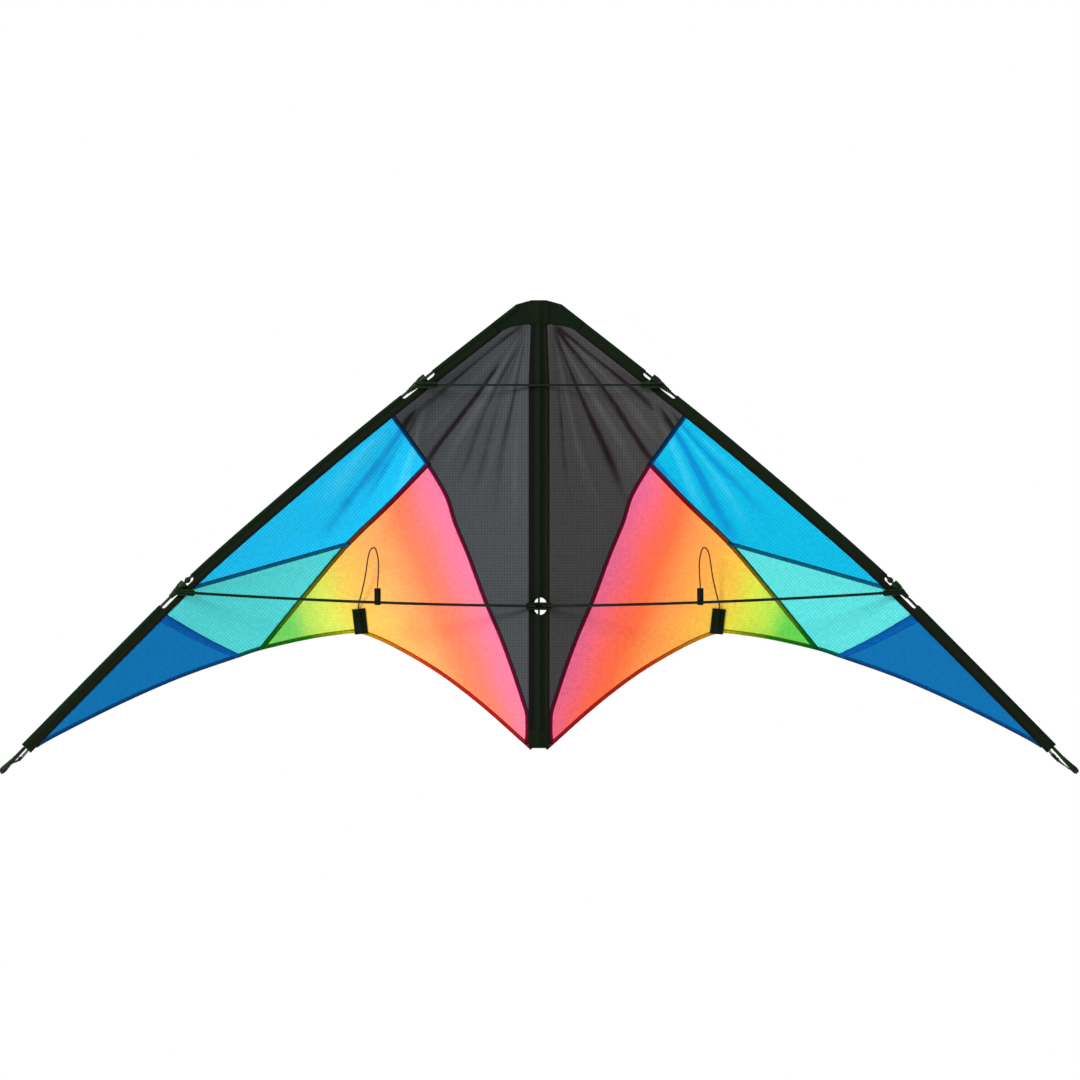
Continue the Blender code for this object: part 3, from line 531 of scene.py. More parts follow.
def joined(*shapes):
    """One shape made of several."""
    whole = Shape()
    for shape in shapes:
        whole.add(shape.points, shape.faces, shape.cloth, shape.strip, shape.tone)
    return whole


def piece(name, shape, material, side="right", smooth_angle=None):
    """The shape as a mesh object, mirrored for the left wing. UV maps: cloth is X and Z at rest."""
    sign = SIDES[side]
    mesh = bpy.data.meshes.new(name)
    faces = shape.faces if sign > 0 else [face[::-1] for face in shape.faces]
    mesh.from_pydata([(sign * x, y, z) for x, y, z in shape.points], [], faces)
    corners = np.empty(len(mesh.loops), int)
    mesh.loops.foreach_get("vertex_index", corners)
    for layer, values in (("cloth", shape.cloth), ("strip", shape.strip)):
        uv = mesh.uv_layers.new(name=layer)
        uv.data.foreach_set("uv", np.array(values, np.float32)[corners].ravel())
    # tone: the folds' painted shade (above 0) and painted highlight (below 0) in the cloth's colour.
    tone = mesh.attributes.new("tone", "FLOAT", "POINT")
    tone.data.foreach_set("value", np.array(shape.tone, np.float32))
    mesh.materials.append(material)
    mesh.update()
    mesh.shade_smooth()
    if smooth_angle:
        mesh.set_sharp_from_angle(angle=math.radians(smooth_angle))
    return placed(name, mesh)


def applied(made):
    """The object with its modifiers worked into its mesh."""
    bpy.context.view_layer.update()
    graph = bpy.context.evaluated_depsgraph_get()
    source = made.evaluated_get(graph)
    mesh = bpy.data.meshes.new_from_object(source, preserve_all_data_layers=True, depsgraph=graph)
    old = made.data
    made.modifiers.clear()
    made.data = mesh
    bpy.data.meshes.remove(old)
    return made


def thickened(made, thickness):
    """The sheet as a closed layer of cloth."""
    step = made.modifiers.new("thickness", "SOLIDIFY")
    step.thickness = thickness
    step.offset = 0.0
    return applied(made)


def inside(outline, points):
    """Which of the points lie inside a closed outline."""
    result = np.zeros(len(points), bool)
    x, z = points[:, 0], points[:, 1]
    for (ax, az), (bx, bz) in zip(outline, np.roll(outline, -1, axis=0)):
        if az != bz:
            result ^= ((az > z) != (bz > z)) & (x < (bx - ax) * (z - az) / (bz - az) + ax)
    return result


def filled(outline, holes=(), step=CLOTH_STEP):
    """Points and triangles of a flat sheet inside an outline, facing the front."""
    loops = [np.asarray(loop, float) for loop in (outline, *holes)]
    low, high = loops[0].min(0), loops[0].max(0)
    xs = np.arange(low[0] - low[0] % step, high[0], step)
    zs = np.arange(low[1] - low[1] % step, high[1], step)
    grid = np.array([(x + (j % 2) * step / 2, z) for j, z in enumerate(zs) for x in xs])
    keep = inside(loops[0], grid)
    for hole in loops[1:]:
        keep &= ~inside(hole, grid)
    for loop in loops:
        keep &= distances(closed(loop), grid) > step * 0.55
    points = [Vector(p) for loop in loops for p in loop] + [Vector(p) for p in grid[keep]]
    edges, first = [], 0
    for loop in loops:
        edges += [(first + i, first + (i + 1) % len(loop)) for i in range(len(loop))]
        first += len(loop)
    made = delaunay_2d_cdt(points, edges, [], 1, 1e-7)
    flat = np.array([tuple(p) for p in made[0]])
    faces = []
    for face in made[2]:
        centre = flat[list(face)].mean(0)[None]
        if not any(inside(hole, centre)[0] for hole in loops[1:]):
            a, b, c = (flat[i] for i in face[:3])
            facing = (b[0] - a[0]) * (c[1] - a[1]) - (b[1] - a[1]) * (c[0] - a[0])
            faces.append(tuple(face) if facing > 0 else tuple(face)[::-1])
    return flat, faces


def sheet_shape(outline, side, step):
    """A wing's cloth inside the outline."""
    flat, faces = filled(outline, step=step)
    x, z = flat[:, 0], flat[:, 1]
    points = np.column_stack([x, wing_depth(side)(x, z), z])
    # The tone attribute paints the folds' shade and highlight into the cloth's colour.
    return Shape().add(points, faces, cloth=flat, tone=fold_tone(x, z, side) * edge_hold(x, z))


def grid_faces(rows, columns, closed=False):
    """Quads of a grid of points, row by row."""
    faces = []
    for i in range(rows - 1):
        for j in range(columns if closed else columns - 1):
            a, b = i * columns + j, i * columns + (j + 1) % columns
            faces.append((a, b, b + columns, a + columns))
    return faces


def facing_front(points, faces):
    """The faces, each turned to face the flyer."""
    turned = []
    for face in faces:
        a, b, c = (points[i] for i in face[:3])
        turned.append(face if np.cross(b - a, c - a)[1] < 0 else face[::-1])
    return turned


def above_trailing_edge(point):
    """The point, brought up onto the trailing edge if it lies below it."""
    mark, _ = TRAILING_EDGE.mark_of(point)
    base, along = TRAILING_EDGE.at(min(max(mark, 0.0), TRAILING_EDGE.length))
    below = float((point - base) @ np.array((-along[1], along[0]))) < 0
    return base if below and TRAILING_EDGE.points[0][0] < point[0] else point


def strip_shape(path, low, high, depth, widening=0.0, trimmed=False):
    """A band of cloth along a path, from one offset across to another, widening outwards.

    trimmed keeps it from reaching past the trailing edge.
    """
    columns = 5
    count = max(2, round(path.length / SEAM_STEP))
    flat, strip = [], []
    for mark in (path.length * i / count for i in range(count + 1)):
        start = low + widening * mark
        for share in (j / (columns - 1) for j in range(columns)):
            flat.append(path.off(mark, start + (high - start) * share))
            strip.append((mark, share))
    if trimmed:
        flat = [above_trailing_edge(point) for point in flat]
    flat = np.array(flat)
    points = np.column_stack([flat[:, 0], depth(flat[:, 0], flat[:, 1]), flat[:, 1]])
    faces = facing_front(points, grid_faces(count + 1, columns))
    return Shape().add(points, faces, cloth=flat, strip=strip)


def ring(centre, normal, side, radius, sides):
    turns = [2 * math.pi * k / sides for k in range(sides)]
    return [centre + (normal * math.cos(t) + side * math.sin(t)) * radius for t in turns]


def capped_faces(rows, sides):
    """Faces of a round piece made of rings, closed at both ends."""
    last = (rows - 1) * sides
    ends = [tuple(range(sides))[::-1], tuple(last + k for k in range(sides))]
    return grid_faces(rows, sides, closed=True) + ends


def tube_shape(line, radii, sides, shape):
    """Adds a round tube along 3-D points to a shape, with a radius for each point."""
    line = [Vector(p) for p in line]
    normal = None
    points = []
    for i, point in enumerate(line):
        ahead = (line[min(i + 1, len(line) - 1)] - line[max(i - 1, 0)]).normalized()
        normal = normal or ahead.orthogonal().normalized()
        normal = (normal - ahead * normal.dot(ahead)).normalized()
        points += ring(point, normal, ahead.cross(normal), radii[i], sides)
    return shape.add(points, capped_faces(len(line), sides))


def turned_shape(start, end, profile, sides, shape=None):
    """A turned piece from start to end; the profile lists (share along, radius)."""
    start, end = Vector(start), Vector(end)
    ahead = (end - start).normalized()
    normal = ahead.orthogonal().normalized()
    side = ahead.cross(normal)
    points = []
    for share, radius in profile:
        points += ring(start + (end - start) * share, normal, side, radius, sides)
    return (shape or Shape()).add(points, capped_faces(len(profile), sides))


STITCH_LENGTH = 0.0023
STITCH_R = 0.00017
# A stitch's rings: place along its length, size, and how far it rises off the cloth.
STITCH_RINGS = ((-0.5, 0.45, -0.4), (0.0, 1.0, 0.7), (0.5, 0.45, -0.4))


def stitches_shape(path, across, depth, gap, pitch=0.0032):
    """A row of stitches beside a path, seen on both faces of a cloth that is 2 x gap thick."""
    count = int(path.length / pitch)
    corners = ((0.0, 1.0), (1.0, 0.0), (0.0, -1.0), (-1.0, 0.0))
    spots, places, lifts = [], [], []
    for k in range(count):
        middle = (k + 0.5) * path.length / count
        _, along = path.at(middle)
        side = np.array((-along[1], along[0]))
        ring_spots = [path.off(middle + share * STITCH_LENGTH, across) for share, _, _ in STITCH_RINGS]
        for face in (-1, 1):
            for spot, (_, size, rise) in zip(ring_spots, STITCH_RINGS):
                for turn, lift in corners:
                    spots.append(spot)
                    places.append(spot + side * (turn * STITCH_R * size))
                    lifts.append(face * (gap + rise * STITCH_R) + lift * STITCH_R * size)
    spots, places = np.array(spots), np.array(places)
    y = depth(spots[:, 0], spots[:, 1]) + np.array(lifts)
    template = grid_faces(3, 4, closed=True) + [(3, 2, 1, 0), (8, 9, 10, 11)]
    faces = [tuple(12 * k + i for i in face) for k in range(2 * count) for face in template]
    return Shape().add(np.column_stack([places[:, 0], y, places[:, 1]]), faces, cloth=spots)


# ---------------------------------------------------------------- materials


def seen(r, g, b, shine=SHINE):
    """Base colour of a surface that shows as these sRGB values in this studio, with its faint shine."""
    linear = []
    for value in (r, g, b):
        value /= 255
        value = value / 12.92 if value <= 0.04045 else ((value + 0.055) / 1.055) ** 2.4
        linear.append(min(0.95, max(0.0004, value - shine) / LIGHT_TOTAL))
    return (*linear, 1.0)


class Value:
    """A number worked out by a material's nodes, with the usual signs of arithmetic."""

    def __init__(self, look, socket):
        self.look, self.socket = look, socket

    def __add__(self, other):
        return self.look.math("ADD", self, other)

    def __sub__(self, other):
        return self.look.math("SUBTRACT", self, other)

    def __rsub__(self, other):
        return self.look.math("SUBTRACT", other, self)

    def __mul__(self, other):
        return self.look.math("MULTIPLY", self, other)

    def __truediv__(self, other):
        return self.look.math("DIVIDE", self, other)


class Look:
    """Short ways of building one material's nodes."""

    def __init__(self, name, colour, roughness, specular):
        self.material = bpy.data.materials.new(name)
        self.material.use_nodes = True
        self.tree = self.material.node_tree
        self.shader = self.tree.nodes["Principled BSDF"]
        self.shader.inputs["Base Color"].default_value = colour
        self.shader.inputs["Roughness"].default_value = roughness
        self.shader.inputs["Specular IOR Level"].default_value = specular

    def node(self, kind, inputs=None, output=0, **settings):
        """A new node's output, with its inputs given by their names or numbers."""
        made = self.tree.nodes.new("ShaderNode" + kind)
        for key, value in settings.items():
            setattr(made, key, value)
        for key, value in (inputs or {}).items():
            self.put(value, made.inputs[key])
        return Value(self, made.outputs[output])

    def put(self, value, socket):
        if isinstance(value, Value):
            self.tree.links.new(value.socket, socket)
        else:
            socket.default_value = value

    def math(self, operation, *values):
        return self.node("Math", dict(enumerate(values)), operation=operation)

    def remap(self, value, low, high, to_low=0.0, to_high=1.0):
        numbers = dict(enumerate((value, low, high, to_low, to_high)))
        return self.node("MapRange", numbers, interpolation_type="SMOOTHSTEP")

    def mix(self, share, first, second, blend="MIX"):
        inputs = {0: share, 6: first, 7: second}
        return self.node("Mix", inputs, 2, data_type="RGBA", blend_type=blend)

    def ramp(self, value, stops):
        """Colours along a value from 0 to 1; the stops are (place, colour)."""
        made = self.node("ValToRGB", {0: value})
        elements = made.socket.node.color_ramp.elements
        for place, colour in stops[:-2]:
            elements.new(place)
        for element, (place, _) in zip(sorted(elements, key=lambda e: e.position), stops):
            element.position = place
        for element, (_, colour) in zip(elements, stops):
            element.color = colour
        return made

    def uv(self, name):
        return self.node("UVMap", uv_map=name)

    def place(self):
        return self.node("TexCoord", output="Object")

    def parts(self, vector):
        sockets = self.node("SeparateXYZ", {0: vector}).socket.node.outputs
        return [Value(self, socket) for socket in sockets]

    def turned(self, vector, scale, turn=0.0):
        scale = scale if hasattr(scale, "__len__") else (scale,) * 3
        inputs = {"Vector": vector, "Rotation": (0, 0, math.radians(turn)), "Scale": scale}
        return self.node("Mapping", inputs)

    def noise(self, vector, scale, detail=2.0, roughness=0.5):
        inputs = {"Vector": vector, "Scale": scale, "Detail": detail, "Roughness": roughness}
        return self.node("TexNoise", inputs)

    def lines(self, vector, width):
        """1 on the lines of a square grid of size 1, as wide as that share of a square."""
        masks = []
        for part in self.parts(vector)[:2]:
            from_middle = self.math("ABSOLUTE", self.math("FRACT", part) - 0.5)
            masks.append(self.remap(from_middle, 0.5 - width, 0.5 - width * 0.35))
        return self.math("MAXIMUM", *masks)

    def weave(self, vector, threads):
        """Height of a plain weave with that many threads a metre."""
        x, y = self.parts(self.turned(vector, threads * math.pi))[:2]
        return self.math("SINE", x) * self.math("SINE", y)

    def speckled(self, colour, value, low, high, darkest, brightest):
        """The colour, darker and brighter by turns as a noise goes from low to high."""
        speck = self.remap(value, low, high, darkest, brightest)
        return self.mix(1.0, colour, self.node("CombineColor", {0: speck, 1: speck, 2: speck}), "MULTIPLY")

    def finish(self, colour, height, distance, roughness=None):
        """The material with this colour and bump, and roughness if it isn't uniform."""
        self.put(colour, self.shader.inputs["Base Color"])
        bump = self.node("Bump", {"Distance": distance, "Height": height})
        self.put(bump, self.shader.inputs["Normal"])
        if roughness:
            self.put(roughness, self.shader.inputs["Roughness"])
        return self.material

    def lets_light_through(self, share, colour):
        """Mixes in cloth that glows with the light behind it."""
        through = self.node("BsdfTranslucent", {"Color": colour})
        surface = Value(self, self.shader.outputs[0])
        mixed = self.node("MixShader", {0: share, 1: surface, 2: through})
        self.put(mixed, self.tree.nodes["Material Output"].inputs["Surface"])


def painted_fold_streaks(look, cloth, gather, spread):
    """Painted shade and highlight streaks along pull lines that fan out from the place where the cloth is
    held, from -1 to 1.
    """
    x, z = look.parts(cloth)[:2]
    across = x - gather[0]
    down = gather[1] - z
    angle = look.math("ARCTAN2", across, down)
    reach = look.math("SQRT", look.math("POWER", across, 2.0) + look.math("POWER", down, 2.0))
    polar = look.node("CombineXYZ", {0: angle * spread, 1: reach * 2.2})
    wide = look.noise(polar, 1.0, 1.5, 0.55)
    return (wide - 0.5) * 2.6 * look.remap(reach, 0.36, 0.10)


def ripstop(name, plain, dark, light, turn, line=0.86, specular=0.06, through=0.35, base=None, pull=None):
    """Thin coated ripstop: a fine weave, a thicker thread every 4 mm, painted shade in its folds' hollows and
    painted highlight on their crests.

    base, if given, makes the plain colour from the Look itself. pull is (gather, spread, strength)
    of the painted shade and highlight streaks that fan out from where the cloth is held.
    """
    look = Look(name, plain, 0.52, specular)
    cloth = look.uv("cloth")
    colour = base(look, cloth) if base else plain
    cloudy = look.noise(cloth, 22, 3, 0.55)
    uneven = look.noise(cloth, 170, 2, 0.6)
    # Painted fold shade: the tone attribute, cloudiness and the streaks; above 0 it paints the hollow colour,
    # below 0 the crest colour.
    painted_fold_shade = look.node("Attribute", output="Fac", attribute_name="tone") + (cloudy - 0.5) * 0.7
    if pull:
        gather, spread, strength = pull
        painted_fold_shade = painted_fold_shade + painted_fold_streaks(look, cloth, gather, spread) * strength
    blend = "MULTIPLY" if base else "MIX"
    # Painted shade in the folds' hollows, then painted highlight on their crests.
    colour = look.mix(look.remap(painted_fold_shade, 0.0, 1.0) * 0.95, colour, dark, blend)
    colour = look.mix(look.remap(painted_fold_shade, -0.05, -0.85) * 0.7, colour, light, blend)
    squares = look.lines(look.turned(cloth, 1 / RIPSTOP_SQUARE, turn), 0.15)
    colour = look.mix(squares, colour, (line, line, line, 1), "MULTIPLY")
    colour = look.speckled(colour, uneven, 0.3, 0.7, 0.93, 1.05)
    weave = look.weave(look.turned(cloth, 1.0, turn), 2600)
    look.lets_light_through(through, colour)
    height = weave * 0.2 + squares + uneven * 1.4
    return look.finish(colour, height, 0.00008, look.remap(uneven, 0.2, 0.8, 0.44, 0.60))


# Fan cloth's colours along its slanting gradient, in millimetres from the spine.
FAN_COLOURS = (
    (36, (206, 102, 148)), (62, (226, 110, 154)), (92, (243, 114, 136)), (117, (252, 115, 94)),
    (138, (252, 122, 76)), (174, (252, 160, 87)), (213, (250, 182, 86)), (250, (239, 199, 78)),
    (290, (212, 226, 80)), (326, (176, 220, 85)), (352, (108, 206, 86)),
)
FAN_SLANT = -0.42
# The left fan is painted paler: painted light, as that wing was lit brighter.
FAN_PAINTED_PALER = {"right": 0.0, "left": 0.10}


def fan_gradient(side):
    """Pink at the spine through red, orange and yellow to green, in slanting bands."""
    first, last = FAN_COLOURS[0][0], FAN_COLOURS[-1][0]
    # Painted light: the left wing's colours are mixed towards white.
    paler = FAN_PAINTED_PALER[side]
    stops = [
        ((t - first) / (last - first), seen(*(c + (255 - c) * paler for c in colour)))
        for t, colour in FAN_COLOURS
    ]

    def gradient(look, cloth):
        x, z = look.parts(cloth)[:2]
        wander = (look.noise(cloth, 16, 4) - 0.5) * 0.030
        along = x + (z + 0.011) * FAN_SLANT + wander
        return look.ramp((along - first / 1000) / ((last - first) / 1000), stops)

    return gradient


def strip_look(name, length, *bands):
    """Doubled cloth of a seam or hem, that long.

    Each band is (place across from 0 to 1, its sRGB colour), or has (share along, colour) stops.
    """
    look = Look(name, BLACK, 0.7, 0.02)
    along, place = look.parts(look.uv("strip"))[:2]
    cloth = look.uv("cloth")
    share = along / length
    place = place + (look.noise(cloth, 420, 2) - 0.5) * 0.16
    colour = None
    for spot, *stops in bands:
        if len(stops) > 1:
            band = look.ramp(share, [(t, seen(*shade)) for t, shade in stops])
        else:
            band = seen(*stops[0])
        colour = look.mix(look.remap(place, last, spot), colour, band) if colour else band
        last = spot
    uneven = look.noise(cloth, 240, 3)
    colour = look.speckled(colour, uneven, 0.3, 0.7, 0.8, 1.15)
    return look.finish(colour, look.weave(cloth, 2600) + uneven, 0.00006)


def woven_black(name, base, warm, threads, rough=0.62, specular=0.05, coordinates="cloth"):
    """Closely woven black cloth with a faint tint that wanders between two colours."""
    look = Look(name, base, rough, specular)
    cloth = look.uv(coordinates) if coordinates else look.place()
    cloudy = look.noise(cloth, 38, 4, 0.6)
    colour = look.mix(look.remap(cloudy, 0.35, 0.7), base, warm)
    fine = look.noise(cloth, 700, 2)
    colour = look.speckled(colour, fine, 0.25, 0.75, 0.55, 1.5)
    height = look.weave(cloth, threads) + cloudy * 2.0
    return look.finish(colour, height, 0.00008, look.remap(fine, 0.2, 0.8, rough - 0.1, rough + 0.1))


def striped_black(name, stops, clouds, wander, specks, turn, lumps, depth, rough=None):
    """Black dacron whose tint changes across it; the stops are (share across, sRGB)."""
    look = Look(name, BLACK, 0.6, 0.05)
    across = look.parts(look.uv("strip"))[1]
    cloth = look.uv("cloth")
    cloudy = look.noise(cloth, *clouds)
    colour = look.ramp(across + (cloudy - 0.5) * wander, [(t, seen(*shade)) for t, shade in stops])
    fine = look.noise(cloth, 650, 2)
    colour = look.speckled(colour, fine, 0.25, 0.75, *specks)
    height = look.weave(look.turned(cloth, 1.0, turn), 1500) + cloudy * lumps
    return look.finish(colour, height, depth, rough and look.remap(fine, 0.2, 0.8, *rough))


BLUE_TURN = -41.0
# Each cloth's plain colour, its painted shade for folds' hollows and painted highlight for their crests, on
# the right and the left; the two wings' copies differ by painted light.
CLOTH_COLOURS = {
    "charcoal": (((70, 69, 69), (34, 24, 28), (84, 86, 87)), ((69, 72, 75), (34, 24, 28), (86, 90, 93))),
    "upper_blue": (((22, 190, 226), (0, 150, 214), (60, 204, 240)),
                   ((36, 203, 248), (0, 150, 214), (78, 216, 250))),
    "turquoise": (((99, 221, 221), (62, 200, 208), (128, 228, 230)),
                  ((90, 216, 218), (62, 200, 208), (128, 228, 230))),
    "tip": (((0, 114, 174), (0, 98, 158), (8, 132, 192)), ((0, 122, 184), (0, 98, 158), (8, 132, 192))),
}
# The fan's own tints: plain, and the painted shade of its folds' hollows and painted highlight of their
# crests, which multiply the gradient; the wings' hollows differ by painted light.
FAN_TINTS = (
    ((0.8, 0.4, 0.2, 1), (0.97, 0.84, 0.86, 1), (1.0, 1.0, 1.0, 1)),
    ((0.8, 0.4, 0.2, 1), (0.98, 0.90, 0.90, 1), (1.0, 1.0, 1.0, 1)),
)
CLOTH_SETTINGS = {
    "charcoal": dict(turn=0.0, line=0.66, pull=(NOSE_GATHER, 30.0, 0.50), specular=0.08, through=0.25),
    "upper_blue": dict(turn=BLUE_TURN, line=0.70, pull=(CONNECTOR_GATHER, 22.0, 0.45)),
    "turquoise": dict(turn=BLUE_TURN, line=0.76, pull=((0.5200, 0.0300), 12.0, 0.35)),
    "tip": dict(turn=BLUE_TURN),
    "fan": dict(turn=8.0, line=0.90, pull=((0.1400, 0.2300), 12.0, 0.35)),
}


def cloth_look(panel, side):
    """One wing's material for a panel."""
    left = side == "left"
    name = f"{PANELS[panel][1]}_{side}"
    if panel == "fan":
        return ripstop(name, *FAN_TINTS[left], base=fan_gradient(side), **CLOTH_SETTINGS[panel])
    colours = [seen(*shade) for shade in CLOTH_COLOURS[panel][left]]
    return ripstop(name, *colours, **CLOTH_SETTINGS[panel])


# Seams: the panel each is counted with, its two edges across, its length and its colours.
SEAM_MAKES = {
    "charcoal_blue": ("charcoal", -0.0032, 0.0032, 0.08, (
        (0.2, (0, 62, 104)), (0.5, (0, 38, 70)), (0.95, (18, 36, 44)))),
    # Its brownish last band is painted shadow along the seam's edge.
    "charcoal_fan": ("fan", -0.0028, 0.0028, 0.38, (
        (0.0, (120, 25, 60)), (0.4, (80, 8, 34)), (0.8, (48, 30, 34)))),
    "blue_turquoise": ("upper_blue", -0.0030, 0.0026, 0.22, (
        (0.0, (0, 62, 94)), (0.5, (0, 74, 100)), (1.0, (0, 96, 118)))),
    "blue_fan": ("fan", -0.0032, 0.0038, 0.158, (
        (0.12, (0, (10, 40, 80)), (1.0, (30, 50, 70))),
        (0.45, (0, (84, 14, 34)), (0.5, (98, 20, 22)), (1.0, (104, 50, 12))))),
    "turquoise_fan": ("fan", -0.0030, 0.0036, 0.192, (
        (0.25, (0, (20, 56, 40)), (0.5, (0, 74, 34)), (1.0, (0, 70, 30))),
        (0.62, (0, (115, 60, 15)), (0.35, (110, 85, 10)), (0.6, (90, 105, 10)), (0.85, (10, 92, 16)),
         (1.0, (0, 84, 26))))),
    "turquoise_tip": ("tip", -0.0045, 0.0024, 0.117, (
        (0.3, (0, 82, 148)), (0.8, (0, 74, 136)), (1.0, (0, 58, 112)))),
}
# The seam towards the tip gets wider outwards, by this share of its length.
TIP_SEAM_WIDENING = -0.055
# Hems: length and colours.
HEM_MAKES = {
    "fan": (0.432, (
        (0.05, (0, (86, 19, 24)), (0.15, (129, 22, 21)), (0.42, (159, 41, 22)), (0.54, (168, 70, 10)),
         (0.62, (176, 112, 17)), (0.72, (155, 142, 22)), (0.84, (30, 98, 14)), (1.0, (9, 82, 34))),
        (0.6, (0, (120, 31, 43)), (0.15, (155, 31, 31)), (0.42, (163, 43, 24)), (0.54, (168, 90, 13)),
         (0.62, (168, 112, 9)), (0.72, (142, 138, 13)), (0.84, (24, 94, 12)), (1.0, (4, 77, 30))),
        (1.0, (0, (96, 0, 24)), (0.2, (120, 10, 19)), (0.45, (138, 34, 17)), (0.6, (129, 77, 0)),
         (0.75, (103, 112, 0)), (1.0, (0, 73, 26))))),
    "turquoise": (0.03, ((0.1, (0, 60, 52)), (0.9, (0, 84, 74)))),
    "tip": (0.31, ((0.1, (0, 46, 84)), (0.9, (0, 66, 116)))),
}
SEAM_LOOKS = {name: strip_look(f"seam_{name}", make[3], *make[4]) for name, make in SEAM_MAKES.items()}
HEM_LOOKS = {name: strip_look(f"hem_{name}", length, *bands) for name, (length, bands) in HEM_MAKES.items()}

DACRON = woven_black("black_dacron", seen(15, 29, 17), seen(22, 27, 15), 1500)
WEBBING = woven_black("black_webbing", seen(14, 28, 18), seen(24, 29, 20), 700, 0.7)
THREAD = woven_black("black_thread", seen(12, 16, 16), seen(22, 22, 20), 3000, 0.5, 0.15, None)


# ---------------------------------------------------------------- sail panels

PATCH_ARC = ((0.0153, 0.3922), (0.0342, 0.3896), (0.0473, 0.3853), (0.0560, 0.3790))
PATCH_CURVE = [(p.x, p.y) for p in catmull([(*q, 0) for q in PATCH_ARC], 4)]


def tucked(name):
    """A panel's outline with its held edges carried in under the spine sleeve and the leading edge."""
    outline = OUTLINES[name].copy()
    beside = spine_edge_x(outline[:, 1])
    by_spine = outline[:, 0] < beside + NEAR
    outline[by_spine, 0] = beside[by_spine] - UNDERLAP
    by_patch = distances(np.array(PATCH_CURVE), outline) < 0.0020
    outline[by_patch | (by_spine & (outline[:, 1] > 0.3850)), 1] += 0.0060
    by_sleeve = distances(SLEEVE_INNER.points, outline) < NEAR
    for i in np.flatnonzero(by_sleeve & ~by_spine & ~by_patch):
        outline[i] = SLEEVE_INNER.off(SLEEVE_INNER.mark_of(outline[i])[0], -0.0030)
    return thinned(outline, 0.0008)


def flat_size(outline):
    """Width and length of the smallest rectangle round an outline, and the area inside it."""
    x, z = outline.T
    area = 0.5 * abs(np.dot(x, np.roll(z, 1)) - np.dot(z, np.roll(x, 1)))
    sizes = []
    for turn in np.radians(range(0, 90, 3)):
        a = outline @ np.array((math.cos(turn), math.sin(turn)))
        b = outline @ np.array((-math.sin(turn), math.cos(turn)))
        sizes.append(sorted((float(np.ptp(a)), float(np.ptp(b)))))
    return tuple(min(sizes, key=math.prod)), float(area)


def on_wing(made, side, slot, replaced=None, by_spine=False):
    """The piece moves with its wing, or, if it starts under the spine sleeve, keeps its place with its
    placement worked into its mesh.
    """
    if by_spine:
        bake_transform(made)
    else:
        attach(made, f"{side}_wing")
    if replaced:
        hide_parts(replaced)


def on_spine(made, replaced=None):
    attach(made, "spine")
    if replaced:
        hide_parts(replaced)


CLOTHS = {}
for _side in SIDES:
    for _panel, (_name, _slot) in PANELS.items():
        _outline = tucked(_panel)
        _step = FOLDED_STEP if _panel in ("charcoal", "upper_blue") else CLOTH_STEP
        _shape = sheet_shape(_outline, _side, _step)
        _cloth = thickened(piece(f"{_name}_{_side}", _shape, cloth_look(_panel, _side), _side), RIPSTOP_THICK)
        on_wing(_cloth, _side, _slot, f"{_panel}_panel_{_side}", by_spine=_panel in ("charcoal", "fan"))
        CLOTHS[_panel, _side] = (_cloth, *flat_size(_outline))


# ---------------------------------------------------------------- seams, hems and stitches

for _side in SIDES:
    _depth = wing_depth(_side)
    _rows = []
    _trims = {panel: [] for panel in PANELS}
    for _seam, _path in SEAMS.items():
        _panel, _low, _high = SEAM_MAKES[_seam][:3]
        _even = _path.resampled(SEAM_STEP, 3)
        _wider = TIP_SEAM_WIDENING if _seam == "turquoise_tip" else 0.0
        _shape = strip_shape(_even.extended(SEAM_STEP, SEAM_STEP), _low, _high, _depth, _wider, trimmed=True)
        _strip = thickened(piece(f"seam_{_seam}_{_side}", _shape, SEAM_LOOKS[_seam], _side), SEAM_THICK)
        on_wing(_strip, _side, "blue_ripstop" if "blue" in _seam else "fan_ripstop")
        _trims[_panel].append(_strip)
        for _across in (_low * 0.6, _high * 0.6):
            _rows.append(stitches_shape(_even.extended(-0.002, 0.0005), _across, _depth, SEAM_THICK / 2))
    for _hem, _path in HEMS.items():
        _even = _path.resampled(SEAM_STEP, 3).extended(0.0045 if _hem == "fan" else 0.0, 0.0)
        _shape = strip_shape(_even, 0.0, HEM_WIDTH, _depth)
        _strip = thickened(piece(f"hem_{_hem}_{_side}", _shape, HEM_LOOKS[_hem], _side), SEAM_THICK)
        on_wing(_strip, _side, "fan_ripstop" if _hem == "fan" else "tip_blue_ripstop", by_spine=True)
        _trims[_hem].append(_strip)
        _rows.append(stitches_shape(_even, HEM_WIDTH * 0.78, _depth, SEAM_THICK / 2))
    _thread = piece(f"sail_stitches_{_side}", joined(*_rows), THREAD, _side)
    on_wing(_thread, _side, "black_cord", by_spine=True)
    for _panel in PANELS:
        _cloth, _flat, _area = CLOTHS[_panel, _side]


# ---------------------------------------------------------------- leading edge sleeves

DACRON_THICK = 0.00028
SLEEVE_R = 0.00245
TENT_END = 0.0064
FLAP_GAP = 0.00052
FLAP_CLEAR = 0.00034
FLAP_STEPS = np.linspace(1.0, 0.0, 4)
PATCH_END = 0.0400
CONNECTOR_MARKS = [ROD.mark_of(np.array(p))[0] for p in ((0.1704, 0.3075), (0.5053, 0.0200))]
# Each window's start, end and depth from the rod's middle.
WINDOWS = (
    (CONNECTOR_MARKS[0] - 0.0295, CONNECTOR_MARKS[0] + 0.0260, 0.0049),
    (CONNECTOR_MARKS[1] - 0.0310, CONNECTOR_MARKS[1] + 0.0290, 0.0053),
)
WINDOW_CORNER = 0.0040
WINDOW_END_DEPTH = 0.0024


